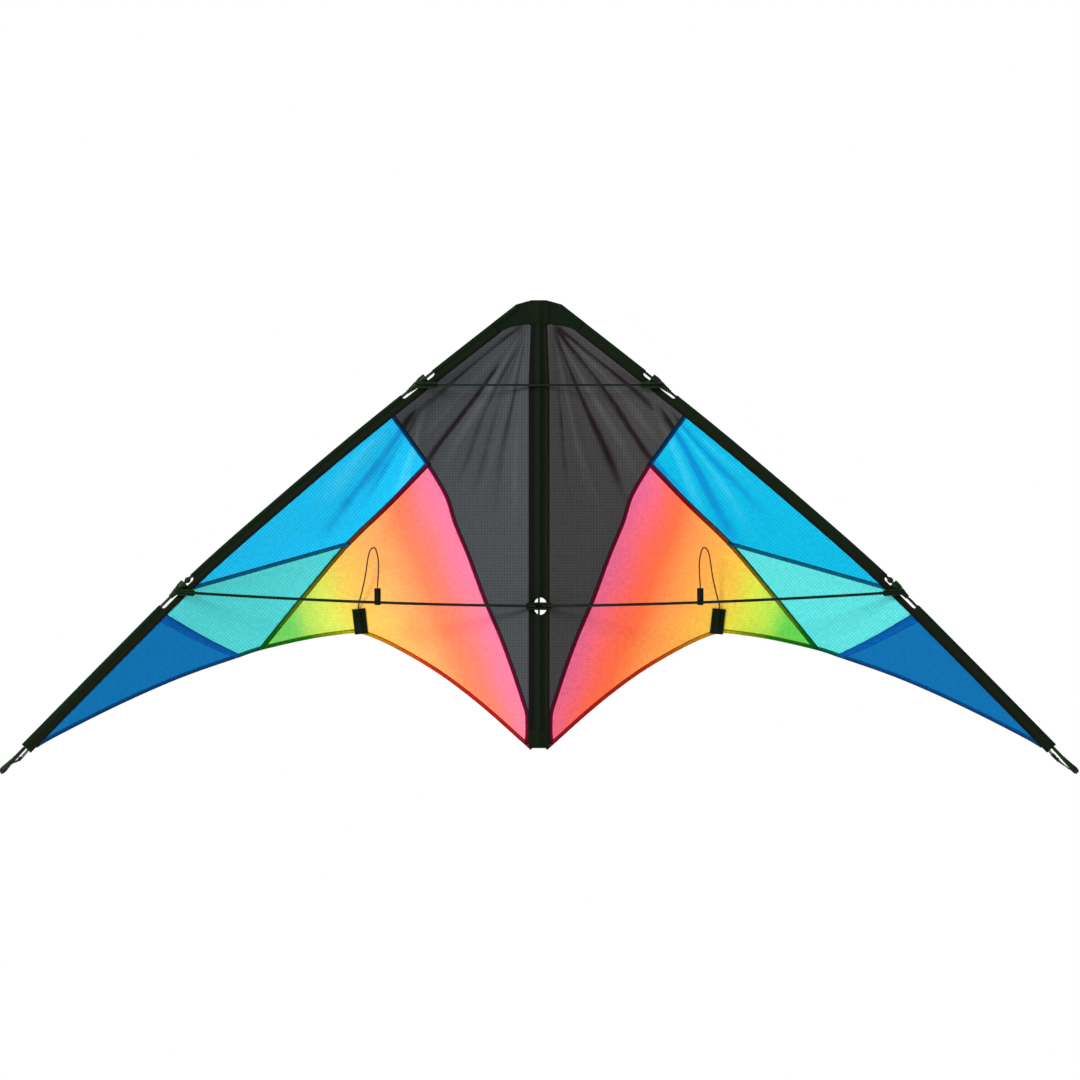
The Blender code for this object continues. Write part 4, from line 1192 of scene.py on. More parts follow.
def tent(away, radius, reach=TENT_END):
    """Half thickness of doubled cloth over a rod, at a distance from the rod's middle."""
    share = smoothstep(0.0, 1.0, np.asarray(away) / reach)
    return FLAP_GAP + (radius - FLAP_GAP) * (1 - share)


def window_edge(mark):
    """How far from the rod's middle the cloth stops being doubled over it, round at a window's ends."""
    for low, high, deep in WINDOWS:
        if low <= mark <= high:
            short = max(0.0, WINDOW_CORNER - min(mark - low, high - mark)) / WINDOW_CORNER
            return WINDOW_END_DEPTH + (deep - WINDOW_END_DEPTH) * math.sqrt(1 - short * short)
    outside = min(max(low - mark, mark - high, 0.0) for low, high, _ in WINDOWS)
    return WINDOW_END_DEPTH + (TENT_END - WINDOW_END_DEPTH) * float(smoothstep(0.0, 0.010, outside))


def sleeve_marks():
    """Places along the rod where the sleeve's cloth has a row of points, closer at the windows."""
    marks = set(np.linspace(PATCH_END - 0.004, ROD_COVERED, 200))
    for low, high, _ in WINDOWS:
        marks = {m for m in marks if min(abs(m - low), abs(m - high)) > 0.0045}
        for step in (-0.0025, 0.0, 0.0004, 0.0012, 0.0024, 0.0038):
            marks |= {low + step, high - step}
    return sorted(marks)


def sleeve_section(mark):
    """The sleeve cut across: (distance from the rod's middle towards the sail, depth) points."""
    edge = SLEEVE_WIDTH - rod_inset(mark)
    outer = max(SLEEVE_R, rod_inset(mark) - 0.00025)
    brink = window_edge(mark)
    half = [(brink + (edge - brink) * f, FLAP_GAP - 0.00022 * f) for f in FLAP_STEPS]
    half += [(brink * s, float(tent(brink * s, SLEEVE_R, brink))) for s in np.linspace(1, 0, 7)[1:]]
    for turn in np.linspace(0, math.pi / 2, 6)[1:]:
        half.append((-outer * math.sin(turn), SLEEVE_R * math.cos(turn)))
    section = [(a, -y) for a, y in half] + [(a, y) for a, y in half[-2::-1]]
    return section, [(edge - a) / (edge + outer) for a, _ in section]


def sleeve_shape(side):
    """Cloth folded round the rod with its two edges on the sail, open at the two windows."""
    marks = sleeve_marks()
    points, strip = [], []
    for mark in marks:
        section, shares = sleeve_section(mark)
        for (a, y), share in zip(section, shares):
            x, z = ROD.off(mark, a)
            points.append((x, y, z))
            strip.append((mark, share))
    columns = len(section)
    points = np.array(points)
    flaps = len(FLAP_STEPS)
    deep = wing_depth(side)(points[:, 0], points[:, 2])
    column = np.arange(len(points)) % columns
    front, back = column < flaps, column >= columns - flaps
    points[front, 1] = np.minimum(points[front, 1], deep[front] - FLAP_CLEAR)
    points[back, 1] = np.maximum(points[back, 1], deep[back] + FLAP_CLEAR)
    kept = []
    for face in grid_faces(len(marks), columns):
        i, j = divmod(face[0], columns)
        middle = (marks[i] + marks[i + 1]) / 2
        opened = any(low < middle < high for low, high, _ in WINDOWS)
        if not opened or min(j, columns - 2 - j) < flaps - 1:
            kept.append(face)
    used = sorted({i for face in kept for i in face})
    place = {old: new for new, old in enumerate(used)}
    kept = [tuple(place[i] for i in face) for face in kept]
    return Shape().add(points[used], kept, cloth=points[used][:, [0, 2]], strip=np.array(strip)[used])


def flat_depth(x, z):
    return np.zeros_like(x)


def sleeve_stitches():
    """Stitch rows: one through both layers at the inner edge, one that closes the rod's channel."""
    gap = FLAP_GAP + DACRON_THICK / 2 - 0.0001
    marks = np.linspace(PATCH_END + 0.0016, ROD_COVERED - 0.002, 90)
    edge = Path([ROD.off(m, SLEEVE_WIDTH - rod_inset(m) - 0.0019) for m in marks])
    marks = np.linspace(PATCH_END, ROD_COVERED - 0.002, 90)
    channel = Path([ROD.off(m, TENT_END + 0.0009) for m in marks])
    return joined(*(stitches_shape(line, 0.0, flat_depth, gap, pitch=0.003) for line in (edge, channel)))


# Brownish towards the sail, and greenish where the sleeve folds round the rod: a painted sheen on the cloth's
# bulge over the rod.
SLEEVE_LOOK = striped_black(
    "sleeve_dacron",
    ((0.0, (12, 18, 18)), (0.12, (22, 25, 19)), (0.38, (26, 29, 20)), (0.62, (22, 30, 21)),
     (0.86, (19, 32, 23)), (1.0, (14, 28, 19))),
    clouds=(45, 4, 0.65), wander=0.5, specks=(0.5, 1.5), turn=BLUE_TURN, lumps=6.0, depth=0.0001,
    rough=(0.5, 0.7),
)


# ---------------------------------------------------------------- nose patches, spine and webbing


def pillow_shape(outline, height, holes=(), step=0.003, strip=None):
    """Two layers of cloth closed all round; height(x, z) is half their thickness."""
    flat, faces = filled(outline, holes, step)
    x, z = flat.T
    half = np.asarray(height(x, z), float)
    count = len(flat)
    points = np.vstack([np.column_stack([x, -half, z]), np.column_stack([x, half, z])])
    edges = [edge for face in faces for edge in zip(face, face[1:] + face[:1])]
    known = set(edges)
    back = [tuple(i + count for i in face)[::-1] for face in faces]
    walls = [(b, a, a + count, b + count) for a, b in edges if (b, a) not in known]
    across = strip(flat) if strip else np.zeros((count, 2))
    cloth, strip = np.vstack([flat, flat]), np.vstack([across, across])
    return Shape().add(points, faces + back + walls, cloth=cloth, strip=strip)


def row_on(path, height, pitch=0.003):
    """A stitch row on both faces of a pillow."""
    faces = (lambda x, z: -height(x, z), height)
    return joined(*(stitches_shape(path, 0.0, face, 0.00004, pitch=pitch) for face in faces))


def rounded(away, reach, least=0.0):
    """Share of a soft rim's full thickness at a distance inside its edge."""
    return np.sqrt(np.clip(1 - (1 - np.clip(away / reach, 0, 1)) ** 2, least, 1))


PATCH_TOP = ((0.0108, 0.4246), (0.0154, 0.4243), (0.0320, 0.4195))
PATCH_TUCK = (0.0108, PATCH_ARC[0][1] - 0.0022)
PATCH_ROD_R = 0.00290
PATCH_RIM = 0.0034


def patch_outline():
    """The nose patch from under the nose webbing, round the rod's end and back along its arc."""
    edge = [ROD.off(m, -rod_inset(m)) for m in np.linspace(0.0025, PATCH_END - 0.003, 12)]
    corner = ROD.off(PATCH_END - 0.003, SLEEVE_WIDTH - rod_inset(0))
    arc = [p for p in PATCH_CURVE if p[0] < corner[0] - 0.002]
    points = np.array([tuple(q) for q in (*PATCH_TOP, *edge, corner, *arc[::-1], PATCH_TUCK)])
    return Path(closed(points)).resampled(0.0022, 0).points[:-1]


PATCH = patch_outline()
ROD_AHEAD = Path(np.vstack([ROD.off(-0.03, 0), ROD.points]))


def patch_height(x, z):
    """Half thickness of the nose patch: flat on the sail, round over the rod, closed outside it."""
    over = tent(ROD.near(x, z), PATCH_ROD_R, 0.0075) + 0.0002
    outer = np.array([max(0.0, PATCH_RIM + ROD_AHEAD.mark_of(p)[1]) for p in np.column_stack([x, z])])
    return np.maximum(0.0001, over * np.maximum(rounded(outer, PATCH_RIM), 0.12))


SPINE_ROD_COVER = 0.00205
SPINE_CLOTH_HALF = 0.00042
BOUND_EDGE = 0.0013
TAIL_WEBBING_TOP = -0.1720
TEE_HOLE_CENTRE = (0.0020, 0.0)


def spine_height(x, z):
    """Half thickness of the spine sleeve: bound edges, and a ridge over the rod."""
    ridge = (SPINE_ROD_COVER - SPINE_CLOTH_HALF) * (1 - smoothstep(0.0, 1.0, np.abs(x) / 0.0062))
    edge = spine_edge_x(z) - np.abs(x)
    bound = 0.00022 * (1 - smoothstep(0.7, 1.0, edge / BOUND_EDGE))
    return SPINE_CLOTH_HALF + ridge + bound


def hole_outline(half_width, half_height):
    """An ellipse round the hole of the centre tee."""
    turns = np.linspace(0, 2 * math.pi, 48, endpoint=False)
    x = TEE_HOLE_CENTRE[0] + half_width * np.cos(turns)
    return np.column_stack([x, TEE_HOLE_CENTRE[1] + half_height * np.sin(turns)])


def mirrored(right):
    """A closed outline from its right half."""
    return np.array([*right, *((-x, z) for x, z in reversed(right))])


def spine_outline():
    heights = np.linspace(TAIL_WEBBING_TOP - 0.004, SPINE_SLEEVE_TOP + 0.003, 190)
    return mirrored([(float(spine_edge_x(z)), z) for z in heights])


def spine_strip(flat):
    half = spine_edge_x(flat[:, 1])
    return np.column_stack([flat[:, 1], (flat[:, 0] + half) / (2 * half)])


# Brown at the spine sleeve's left edge, a pale green stripe, and an olive fold on the right.
SPINE_LOOK = striped_black(
    "spine_dacron_striped",
    ((0.0, (23, 18, 14)), (0.07, (24, 22, 16)), (0.16, (18, 22, 15)), (0.34, (22, 27, 19)),
     (0.52, (24, 29, 21)), (0.64, (18, 25, 16)), (0.78, (20, 26, 17)), (0.87, (29, 30, 22)),
     (0.95, (26, 27, 19)), (1.0, (18, 20, 13))),
    clouds=(60, 4, 0.6), wander=0.12, specks=(0.6, 1.4), turn=0.0, lumps=3.0, depth=0.00008,
)
# Outlines of the right half of the two webbing ends, from the bottom up.
WEBBING_HALVES = {
    "nose_webbing": ((0.0105, 0.3908), (0.0145, 0.3933), (0.0145, 0.4241), (0.0115, 0.4256)),
    "tail_webbing": ((0.0132, -0.1975), (0.0145, -0.1967), (0.0145, TAIL_WEBBING_TOP)),
}


def webbing_shape(node):
    """A folded end of webbing over the spine rod, with soft rims."""
    outline = Path(closed(mirrored(WEBBING_HALVES[node]))).resampled(0.0016, 1).points[:-1]
    rim = Path(closed(outline))

    def height(x, z):
        full = 0.00175 + 0.00115 * (1 - smoothstep(0.0, 1.0, np.abs(x) / 0.0070))
        rib = 0.00006 * np.sin(z * 2 * math.pi / 0.0026)
        return full * (0.35 + 0.65 * rounded(rim.near(x, z), 0.0012, 0.12)) + rib

    return pillow_shape(outline, height, step=0.0011), rim, height


def line_between(first, last, count=12):
    return Path(np.linspace(first, last, count))


_shape = pillow_shape(spine_outline(), spine_height, [hole_outline(0.0093, 0.0120)], 0.0026, spine_strip)
_spine = piece("spine_sleeve_cloth", _shape, SPINE_LOOK)
on_spine(_spine, "spine_sleeve")
_rows = []
for _sign in (-1, 1):
    _line = [(_sign * (float(spine_edge_x(z)) - 0.0019), z) for z in np.linspace(-0.171, 0.389, 60)]
    _rows.append(row_on(Path(_line), spine_height))
_rows.append(row_on(Path(closed(hole_outline(0.0104, 0.0131))), spine_height, pitch=0.0026))
for _node in WEBBING_HALVES:
    _shape, _rim, _height = webbing_shape(_node)
    on_spine(piece(f"{_node}_folded", _shape, WEBBING), _node)
    _low, _high = _rim.points.min(0), _rim.points.max(0)
    for _z in (_low[1] + 0.0022, _low[1] + 0.0040, _high[1] - 0.0024):
        _line = line_between((_low[0] + 0.002, _z), (_high[0] - 0.002, _z))
        _rows.append(row_on(_line, _height, pitch=0.0026))
    for _x in (_low[0] + 0.0018, _high[0] - 0.0018):
        _line = line_between((_x, _low[1] + 0.002), (_x, _high[1] - 0.003))
        _rows.append(row_on(_line, _height, pitch=0.0026))
on_spine(piece("spine_stitches", joined(*_rows), THREAD))

for _side in SIDES:
    _sleeve = piece(f"leading_edge_cloth_{_side}", sleeve_shape(_side), SLEEVE_LOOK, _side)
    on_wing(thickened(_sleeve, DACRON_THICK), _side, "black_dacron", f"leading_edge_sleeve_{_side}")
    _thread = piece(f"sleeve_stitches_{_side}", sleeve_stitches(), THREAD, _side)
    on_wing(_thread, _side, "black_cord")
    _shape = pillow_shape(PATCH, patch_height, step=0.0022)
    _patch = piece(f"nose_patch_cloth_{_side}", _shape, DACRON, _side)
    on_wing(_patch, _side, "black_dacron", f"nose_patch_{_side}", by_spine=True)


# ---------------------------------------------------------------- rods and mouldings


def hard_black(name, base, specular, rough, grain=900, grain_depth=0.00004):
    """Black plastic or composite with a fine grain and faint smears."""
    look = Look(name, base, rough, specular)
    place = look.place()
    smear = look.noise(place, 90, 3, 0.6)
    fine = look.noise(place, grain, 3, 0.6)
    paler = tuple(min(1, 1.8 * c + 0.002) for c in base[:3]) + (1,)
    colour = look.mix(look.remap(smear, 0.35, 0.8), base, paler)
    uneven = look.remap(smear + fine, 0.7, 1.3, rough - 0.08, rough + 0.1)
    return look.finish(colour, fine + smear * 0.5, grain_depth, uneven)


def rod_black(name, base, along, twist=650):
    """Pulled fibreglass: fine fibres and a faint wrap winding round the rod."""
    look = Look(name, base, 0.42, 0.09)
    place = look.place()
    x, y, z = look.parts(place)
    wrap = look.math("SINE", ((x if along == "x" else z) + y * 2) * twist)
    fibres = look.noise(look.turned(place, (40, 900, 900) if along == "x" else (900, 900, 40)), 1.0, 3)
    smear = look.noise(place, 35, 3, 0.6)
    paler = tuple(min(1, 2.0 * c + 0.003) for c in base[:3]) + (1,)
    colour = look.mix(look.remap(fibres + smear, 0.8, 1.25) * 0.7, base, paler)
    return look.finish(colour, wrap * 0.25 + fibres, 0.00003, look.remap(smear, 0.3, 0.7, 0.3, 0.46))


ROD_LOOK = rod_black("black_fibreglass_across", seen(18, 26, 20, 0.006), "x")
SPINE_ROD_LOOK = rod_black("black_fibreglass_upright", seen(16, 26, 22, 0.006), "z")
WHISKER_LOOK = rod_black("brown_black_fibreglass", seen(52, 40, 32, 0.006), "z", 900)
MOULDED = hard_black("black_moulded", seen(16, 34, 22, 0.008), 0.09, 0.5)
RUBBER = hard_black("black_rubber", seen(22, 26, 22, 0.006), 0.05, 0.75, 1500, 0.00006)
VINYL = hard_black("black_vinyl", seen(18, 26, 20, 0.009), 0.12, 0.4, 500, 0.00002)
# The CAD nodes that show as they are.
SHOWN_NODES = {
    "spine_rod": SPINE_ROD_LOOK,
    "upper_spreader": ROD_LOOK,
    "spine_cap_nose": VINYL,
    "spine_cap_tail": VINYL,
}
for _side in SIDES:
    SHOWN_NODES[f"lower_spreader_{_side}"] = ROD_LOOK
    SHOWN_NODES[f"leading_edge_rod_{_side}"] = ROD_LOOK
    SHOWN_NODES[f"leading_edge_cap_{_side}"] = VINYL
    SHOWN_NODES[f"standoff_clip_{_side}"] = RUBBER
    SHOWN_NODES[f"standoff_rod_{_side}"] = WHISKER_LOOK
for _node, _look in SHOWN_NODES.items():
    _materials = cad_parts[_node].data.materials
    if not _materials:
        _materials.append(_look)
    for _i in range(len(_materials)):
        _materials[_i] = _look


# ---------------------------------------------------------------- tension cords at the tips

SLEEVE_EXIT, TIP_DIRECTION = ROD.at(ROD_COVERED)
CORD_R = 0.00085
# Route of the cord's front run: away from the sleeve, across towards the sail, and depth.
CORD_FRONTS = {
    "right": (
        (-0.0040, 0.0058, -0.0008), (0.0030, 0.0062, -0.0008), (0.0100, 0.0066, -0.0008),
        (0.0165, 0.0064, -0.0010), (0.0230, 0.0062, -0.0020), (0.0310, 0.0056, -0.0032),
        (0.0370, 0.0046, -0.0046), (0.0415, 0.0024, -0.0056), (0.0450, 0.0004, -0.0054),
        (0.0476, 0.0000, -0.0034),
    ),
    "left": (
        (-0.0040, 0.0048, -0.0008), (0.0030, 0.0050, -0.0008), (0.0100, 0.0054, -0.0010),
        (0.0165, 0.0052, -0.0012), (0.0215, 0.0044, -0.0030), (0.0290, 0.0024, -0.0044),
        (0.0370, 0.0010, -0.0052), (0.0415, 0.0004, -0.0057), (0.0450, 0.0000, -0.0054),
        (0.0476, 0.0000, -0.0034),
    ),
}
CORD_SPLIT = 0.0009
CORD_TURN = 0.0482
KNOT_AWAY = 0.0160
KNOT_SIZE = 0.0021
WRAP_START = 0.0062
WRAP_LENGTH = 0.0068
WRAP_R = 0.0019
WRAP_TURNS = 4


def tip_point(away, across, y):
    """A point by its distance past the sleeve along the rod, across towards the sail, and depth."""
    x, z = SLEEVE_EXIT + TIP_DIRECTION * away + inward(TIP_DIRECTION) * across
    return Vector((x, y, z))


def braided_tube(line, shape):
    """Adds a cord whose UV map strip holds the distance along and the turn round it."""
    sides = 8
    marks = [0.0]
    for a, b in zip(line, line[1:]):
        marks.append(marks[-1] + (Vector(b) - Vector(a)).length)
    made = tube_shape(line, [CORD_R] * len(line), sides, Shape())
    strip = [(marks[i // sides], (i % sides) / sides) for i in range(len(line) * sides)]
    shape.add(made.points, made.faces, cloth=[(u, v * 0.004) for u, v in strip], strip=strip)


def overhand_knot(across):
    """Points of an overhand knot's tight loops, a small trefoil round a place on the cords."""
    points = []
    for t in np.linspace(0, 2 * math.pi, 61):
        u = (math.sin(t) + 2 * math.sin(2 * t)) * 0.42 * 1.3
        v = (math.cos(t) - 2 * math.cos(2 * t)) * 0.34
        w = -math.sin(3 * t) * 0.7
        points.append(tip_point(KNOT_AWAY + u * KNOT_SIZE, across + v * KNOT_SIZE, w * KNOT_SIZE))
    return points


def wrap(across):
    """Points of a coil of cord wound round the two runs, beside the knot."""
    points = []
    for share in np.linspace(0, 1, 14 * WRAP_TURNS + 1):
        turn = 2 * math.pi * WRAP_TURNS * share
        u, v = WRAP_R * math.cos(turn), WRAP_R * math.sin(turn)
        points.append(tip_point(WRAP_START + WRAP_LENGTH * share, across + u, v))
    return points


def cord_look():
    """Black braided cord: strands that cross on a slant, painted lighter on their tops and darker in the
    grooves between them.
    """
    look = Look("black_braided_cord", seen(26, 28, 26), 0.6, 0.1)
    along, turn = look.parts(look.uv("strip"))[:2]
    run = along * (2 * math.pi / 0.0016)
    spin = turn * (2 * math.pi * 2)
    height = look.math("MAXIMUM", look.math("SINE", run + spin), look.math("SINE", run - spin))
    # Painted shade in the grooves between strands and painted highlight on their tops, from the strands'
    # height.
    colour = look.mix(look.remap(height, -0.2, 1.0), seen(12, 14, 13), seen(46, 46, 42))
    return look.finish(colour, height, 0.00012)


CORD_LOOK = cord_look()
for _side in SIDES:
    _front = CORD_FRONTS[_side]
    _back = [
        (away, across + 2 * CORD_SPLIT * float(1 - smoothstep(0.018, 0.030, away)), -y)
        for away, across, y in reversed(_front)
    ]
    _shape = Shape()
    braided_tube(catmull([tip_point(*p) for p in (*_front, (CORD_TURN, 0.0, 0.0), *_back)], 8), _shape)
    _middle = _front[3][1] + CORD_SPLIT
    braided_tube(overhand_knot(_middle), _shape)
    if _side == "right":
        braided_tube(wrap(_middle), _shape)
    _cord = piece(f"tension_cord_{_side}", _shape, CORD_LOOK, _side)
    on_wing(_cord, _side, "black_cord", f"tip_cord_{_side}")


# ---------------------------------------------------------------- pockets of the standoffs

POCKET_CENTRE = (0.2497, -0.0215)
POCKET_TILT = math.radians(6.5)
POCKET_HALF = 0.00925
POCKET_TOP = 0.0179
POCKET_BACK = 0.00032
POCKET_ROD = 0.00295
POCKET_CLOTH = 0.0007
POCKET_EDGE = 0.0013


def pocket_frame():
    """Placement of the pocket on the sail's front: x across, y out of the front, z up."""
    x, z = POCKET_CENTRE
    step = 0.004
    rise = float(sail_depth(x, z + step) - sail_depth(x, z - step))
    run = float(sail_depth(x + step, z) - sail_depth(x - step, z))
    up = Vector((0, rise, 2 * step)).normalized()
    across = Vector((2 * step, run, 0)).normalized()
    front = across.cross(up).normalized()
    up = Matrix.Rotation(POCKET_TILT, 3, -front) @ up
    turn = Matrix((front.cross(up), front, up)).transposed().to_4x4()
    return Matrix.Translation((x, float(sail_depth(x, z)), z)) @ turn


POCKET_PLACE = pocket_frame()


def pocket_layer(rise, low, rows):
    """One layer of the pocket's webbing up to its top; rise(u, v) is its height off the sail."""
    columns = 25
    cloth = [
        (-POCKET_HALF + 2 * POCKET_HALF * j / columns, low + (POCKET_TOP - low) * i / rows)
        for i in range(rows + 1)
        for j in range(columns + 1)
    ]
    points = np.array([tuple(POCKET_PLACE @ Vector((u, rise(u, v), v))) for u, v in cloth])
    return Shape().add(points, facing_front(points, grid_faces(rows + 1, columns + 1)), cloth=cloth)


def back_rise(u, v):
    return POCKET_BACK + POCKET_CLOTH * 0.5


def front_rise(u, v):
    """The front layer rises over the standoff's end, and is shut at the bottom."""
    bell = math.cos(min(1.0, abs(u) / 0.0046) * math.pi / 2) ** 2
    shut = float(smoothstep(0.0015 - POCKET_TOP, 0.0095 - POCKET_TOP, v))
    return POCKET_BACK + POCKET_CLOTH * 1.5 + (POCKET_ROD + 0.00055) * bell * shut


def hem_rise(u, v):
    return front_rise(u, v) + POCKET_CLOTH * 0.9


def pocket_stitches():
    """Stitches up both sides and across the bottom, and two rows through the hem."""
    side, top = POCKET_HALF - POCKET_EDGE, POCKET_TOP
    rows = []
    for u in (-side, side):
        heights = np.arange(POCKET_EDGE - top, top - 0.006, 0.0024)
        rows.append(([(u, v) for v in heights], front_rise, (0, 1)))
        heights = np.arange(top - 0.0045, top - 0.001, 0.0022)
        rows.append(([(u, v) for v in heights], hem_rise, (0, 1)))
    line = np.arange(POCKET_EDGE - side, side - POCKET_EDGE, 0.0024)
    rows.append(([(u, POCKET_EDGE - top) for u in line], front_rise, (1, 0)))
    rows.append(([(u, top - 0.0044) for u in line], hem_rise, (1, 0)))
    shape = Shape()
    for spots, rise, (du, dv) in rows:
        for u, v in spots:
            line = []
            for share, lift in ((-0.5, -0.00006), (0.0, 0.00014), (0.5, -0.00006)):
                a, b = u + du * share * 0.0018, v + dv * share * 0.0018
                line.append(POCKET_PLACE @ Vector((a, rise(a, b) + POCKET_CLOTH / 2 + lift, b)))
            tube_shape(line, [0.00008, 0.00018, 0.00008], 5, shape)
    return shape


for _side in SIDES:
    _shape = joined(
        pocket_layer(back_rise, -POCKET_TOP, 4),
        pocket_layer(front_rise, -POCKET_TOP, 22),
        pocket_layer(hem_rise, POCKET_TOP - 0.0052, 5),
    )
    _pocket = thickened(piece(f"standoff_pocket_cloth_{_side}", _shape, WEBBING, _side), POCKET_CLOTH)
    on_wing(_pocket, _side, "black_webbing", f"standoff_pocket_{_side}")
    _thread = piece(f"pocket_stitches_{_side}", pocket_stitches(), THREAD, _side)
    on_wing(_thread, _side, "black_cord")


# ---------------------------------------------------------------- moulded fittings

SMOOTH_ANGLE = 38
SEAT_CORNER = 0.0017


def seat_section(front, back, half, radius, axis):
    """Outline (depth, height) of an arm with a rod's seat open to the front."""
    outline = []
    for turn in np.linspace(math.pi / 2, -math.pi / 2, 13):
        outline.append((axis + radius * math.cos(turn), radius * math.sin(turn)))
    outline.append((front, -radius))
    near, far, top = front + SEAT_CORNER, back - SEAT_CORNER, half - SEAT_CORNER
    for y, z, quarter in ((near, -top, 2), (far, -top, 3), (far, top, 0), (near, top, 1)):
        for turn in np.linspace(quarter, quarter + 1, 5) * math.pi / 2:
            outline.append((y + SEAT_CORNER * math.cos(turn), z + SEAT_CORNER * math.sin(turn)))
    outline.append((front, radius))
    return outline


def arm_shape(place, start, end, section, nose=0.003, shape=None):
    """An arm along X in a placement, from a rounded end at start to a square one at end."""
    outline = seat_section(*section)
    radius = section[3]
    count = len(outline)
    sign = 1 if end > start else -1
    rows = [(start, 0.66), (start + sign * nose * 0.25, 0.86), (start + sign * nose * 0.6, 0.96)]
    rows += [(start + sign * nose, 1.0), (end - sign * 0.0006, 1.0), (end, 0.9)]
    points = []
    for x, scale in rows:
        for y, high in outline:
            if abs(high) > radius * 1.001:
                high = math.copysign(max(abs(high * scale), radius), high)
            points.append(place @ Vector((x, y, high)))
    faces = [face[::-1] for face in capped_faces(len(rows), count)]
    return (shape or Shape()).add(points, faces if sign > 0 else [face[::-1] for face in faces])


def on_rod(start, end, profile, sides=24, shape=None):
    """A turned piece round the leading edge rod, between two distances along it."""
    a, b = ROD.at(start)[0], ROD.at(end)[0]
    return turned_shape((a[0], 0, a[1]), (b[0], 0, b[1]), profile, sides, shape)


BARREL_END = 0.0032


def connector_shape(mark, barrel, arm_start, section, height, slope, big):
    """Fitting on the leading edge rod: a ringed, tapering barrel and an arm with the spreader's seat."""
    small = BARREL_END
    place = Matrix.Translation((ROD.at(mark)[0][0], 0, height)) @ Matrix.Rotation(-slope, 4, "Y")
    profile = [(0.0, 0.0032), (0.008, big - 0.0006), (0.03, big), (0.30, big)]
    for k in range(4):
        at, edge = 0.34 + 0.055 * k, big - 0.00035 * k
        profile += [(at, edge), (at + 0.008, edge - 0.00045), (at + 0.028, edge - 0.00055)]
        profile += [(at + 0.036, edge - 0.00015)]
    profile += [(0.60, big - 0.0014), (0.92, small), (0.94, small + 0.0003), (0.985, small + 0.0002)]
    profile += [(1.0, small - 0.0006)]
    shape = arm_shape(place, arm_start, 0.0010, section)
    return on_rod(mark - barrel[0], mark + barrel[1], profile, 28, shape)


def ball_shape(mark, radius):
    """A moulded ball threaded on the leading edge rod."""
    turns = [math.pi * k / 12 for k in range(13)]
    profile = [((1 - math.cos(t)) / 2, max(0.0021, radius * math.sin(t) ** 0.8)) for t in turns]
    return on_rod(mark - radius, mark + radius, profile)


def collar_shape(mark, length, radius):
    profile = [(0.0, 0.0021), (0.05, radius - 0.0002), (0.12, radius), (0.88, radius)]
    profile += [(0.95, radius - 0.0002), (1.0, 0.0021)]
    return on_rod(mark - length / 2, mark + length / 2, profile)


# Nock and its long shank on the rod's bare end: (distance from the sleeve, radius).
NOCK_PROFILE = (
    (0.0010, 0.0021), (0.0014, 0.0024), (0.0190, 0.0024), (0.0194, 0.0027), (0.0215, 0.0028),
    (0.0219, 0.0025), (0.0236, 0.0026), (0.0262, 0.0030), (0.0340, 0.0037), (0.0395, 0.0044),
    (0.0430, 0.0046), (0.0458, 0.0043), (0.0480, 0.0034), (0.0494, 0.0022), (0.0500, 0.0010),
)
NOCK_SLOT = 0.0474
SLOT_HALF = 0.0007


def nock_shape():
    """Arrow nock on the rod's end, widening to a rounded fork."""
    first, last = NOCK_PROFILE[0][0], NOCK_PROFILE[-1][0]
    profile = [((away - first) / (last - first), radius) for away, radius in NOCK_PROFILE]
    return turned_shape(tip_point(first, 0, 0), tip_point(last, 0, 0), profile, 32)


def slot_shape():
    """The cord's slot in the nock's end, as a block."""
    low, high = (0, -SLOT_HALF, -0.01), (0.02, SLOT_HALF, 0.01)
    corners = [(x, y, z) for x in (low[0], high[0]) for y in (low[1], high[1]) for z in (low[2], high[2])]
    faces = [(0, 1, 3, 2), (4, 6, 7, 5), (0, 4, 5, 1), (2, 3, 7, 6), (0, 2, 6, 4), (1, 5, 7, 3)]
    return Shape().add([tip_point(NOCK_SLOT + x, y, z) for x, y, z in corners], faces)


def carve(made, cutter_shape, side):
    """Cuts a shape out of a piece."""
    cutter = piece(made.name + "_cutter", cutter_shape, MOULDED, side)
    step = made.modifiers.new("cut", "BOOLEAN")
    step.operation = "DIFFERENCE"
    step.solver = "EXACT"
    step.object = cutter
    applied(made)
    bpy.data.objects.remove(cutter)


LOWER_END_X, LOWER_END_Z = 0.5053, 0.0200


def lower_spreader_z(x):
    share = x / LOWER_END_X
    return LOWER_END_Z * (0.25 * share + 0.75 * share * share)


UPPER_MARK, LOWER_MARK = CONNECTOR_MARKS
LOWER_X = ROD.at(LOWER_MARK)[0][0]
LOWER_SLOPE = math.atan2(lower_spreader_z(LOWER_X) - lower_spreader_z(LOWER_X - 0.02), 0.02)
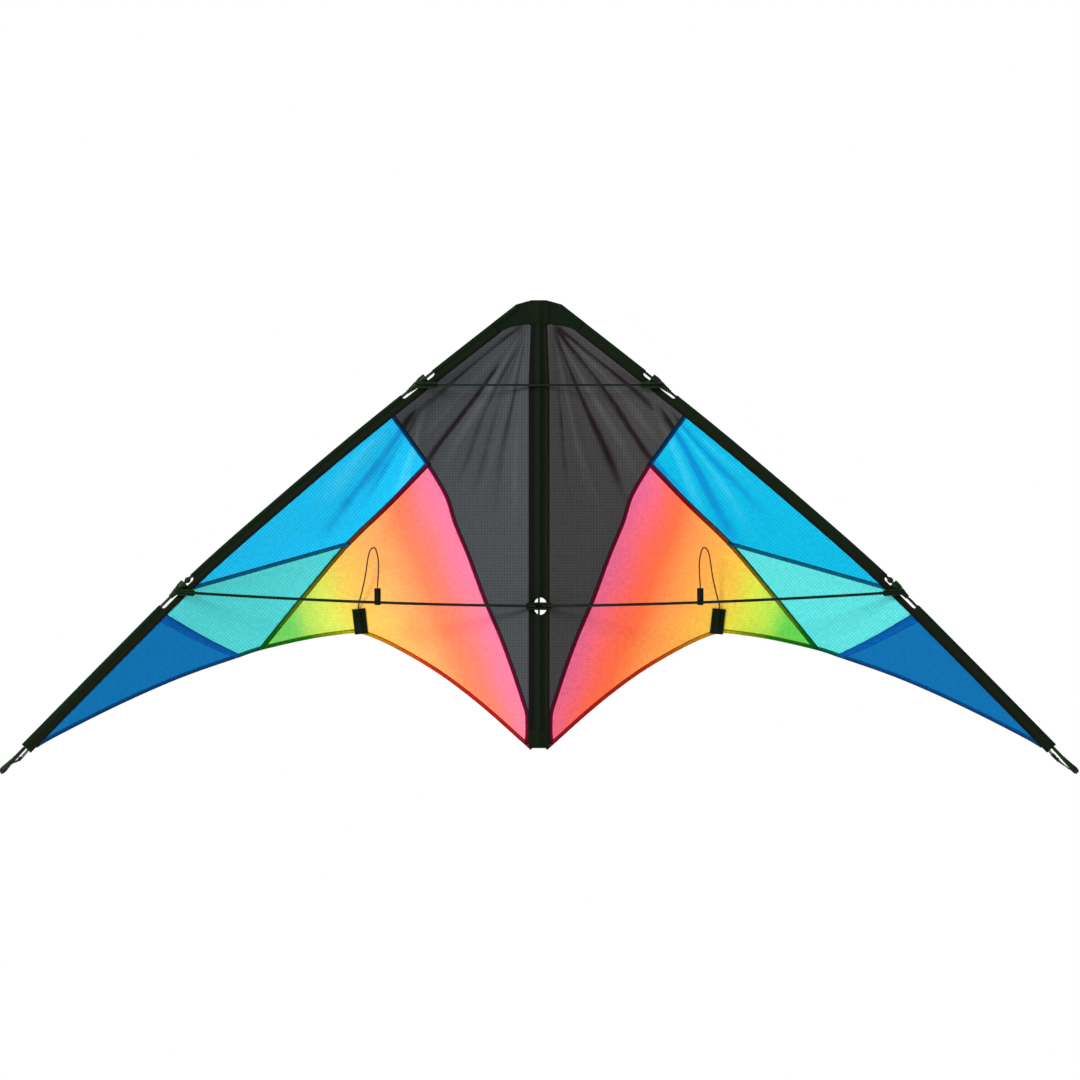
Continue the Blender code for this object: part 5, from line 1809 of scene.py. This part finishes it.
# Arms of the connectors: front, back, half height, and the seat's radius and axis.
UPPER_SECTION = (-0.0092, -0.0022, 0.0046, 0.0017, -0.0060)
LOWER_SECTION = (-0.0092, -0.0022, 0.0044, 0.0022, -0.0065)
# The wings' mouldings: the CAD node each stands for, and its shape.
FITTINGS = {
    "upper_fitting": ("upper_connector", connector_shape(
        UPPER_MARK, (0.0172, 0.0122), -0.0292, UPPER_SECTION, 0.3075, 0.0, 0.0062)),
    "upper_collar": ("upper_stopper", collar_shape(UPPER_MARK + 0.0143, 0.0034, 0.0027)),
    "lower_fitting": ("lower_connector", connector_shape(
        LOWER_MARK, (0.0178, 0.0104), -0.0268, LOWER_SECTION, LOWER_END_Z, LOWER_SLOPE, 0.0060)),
    "lower_ball": ("lower_stopper", ball_shape(LOWER_MARK - 0.0234, 0.0042)),
    "arrow_nock": ("tip_nock", nock_shape()),
}
for _side in SIDES:
    for _name, (_node, _shape) in FITTINGS.items():
        _made = piece(f"{_name}_{_side}", _shape, MOULDED, _side, SMOOTH_ANGLE)
        on_wing(_made, _side, "black_moulded", f"{_node}_{_side}")
        if _name == "arrow_nock":
            carve(_made, slot_shape(), _side)

TEE_HALF = 0.0054
TEE_SECTION = (-0.0093, -0.0024, TEE_HALF, 0.0022, -0.0065)


def tee_shape():
    """Centre fitting: a barrel on the spine rod and an arm each way with an open seat for a spreader."""
    shape = Shape()
    for sign in (1, -1):
        arm_shape(Matrix.Identity(4), sign * 0.0175, sign * 0.0008, TEE_SECTION, 0.0036, shape)
    profile = [(0.0, 0.0034), (0.03, 0.0042), (0.08, 0.0046), (0.92, 0.0046), (0.97, 0.0042), (1.0, 0.0034)]
    return turned_shape((0, 0, -TEE_HALF), (0, 0, TEE_HALF), profile, 28, shape)


TEE_LOOK = hard_black("black_moulded_tee", seen(18, 22, 14, 0.008), 0.08, 0.5)
_tee = piece("centre_fitting", tee_shape(), TEE_LOOK, smooth_angle=SMOOTH_ANGLE)
on_spine(_tee, "centre_tee")


# ---------------------------------------------------------------- camera, light and size


def plain(box):
    """A box's two corners as plain lists."""
    return [[float(v) for v in corner] for corner in box]


camera()
studio()
{"cad": plain(CAD_BOX), "visual": plain(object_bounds())}
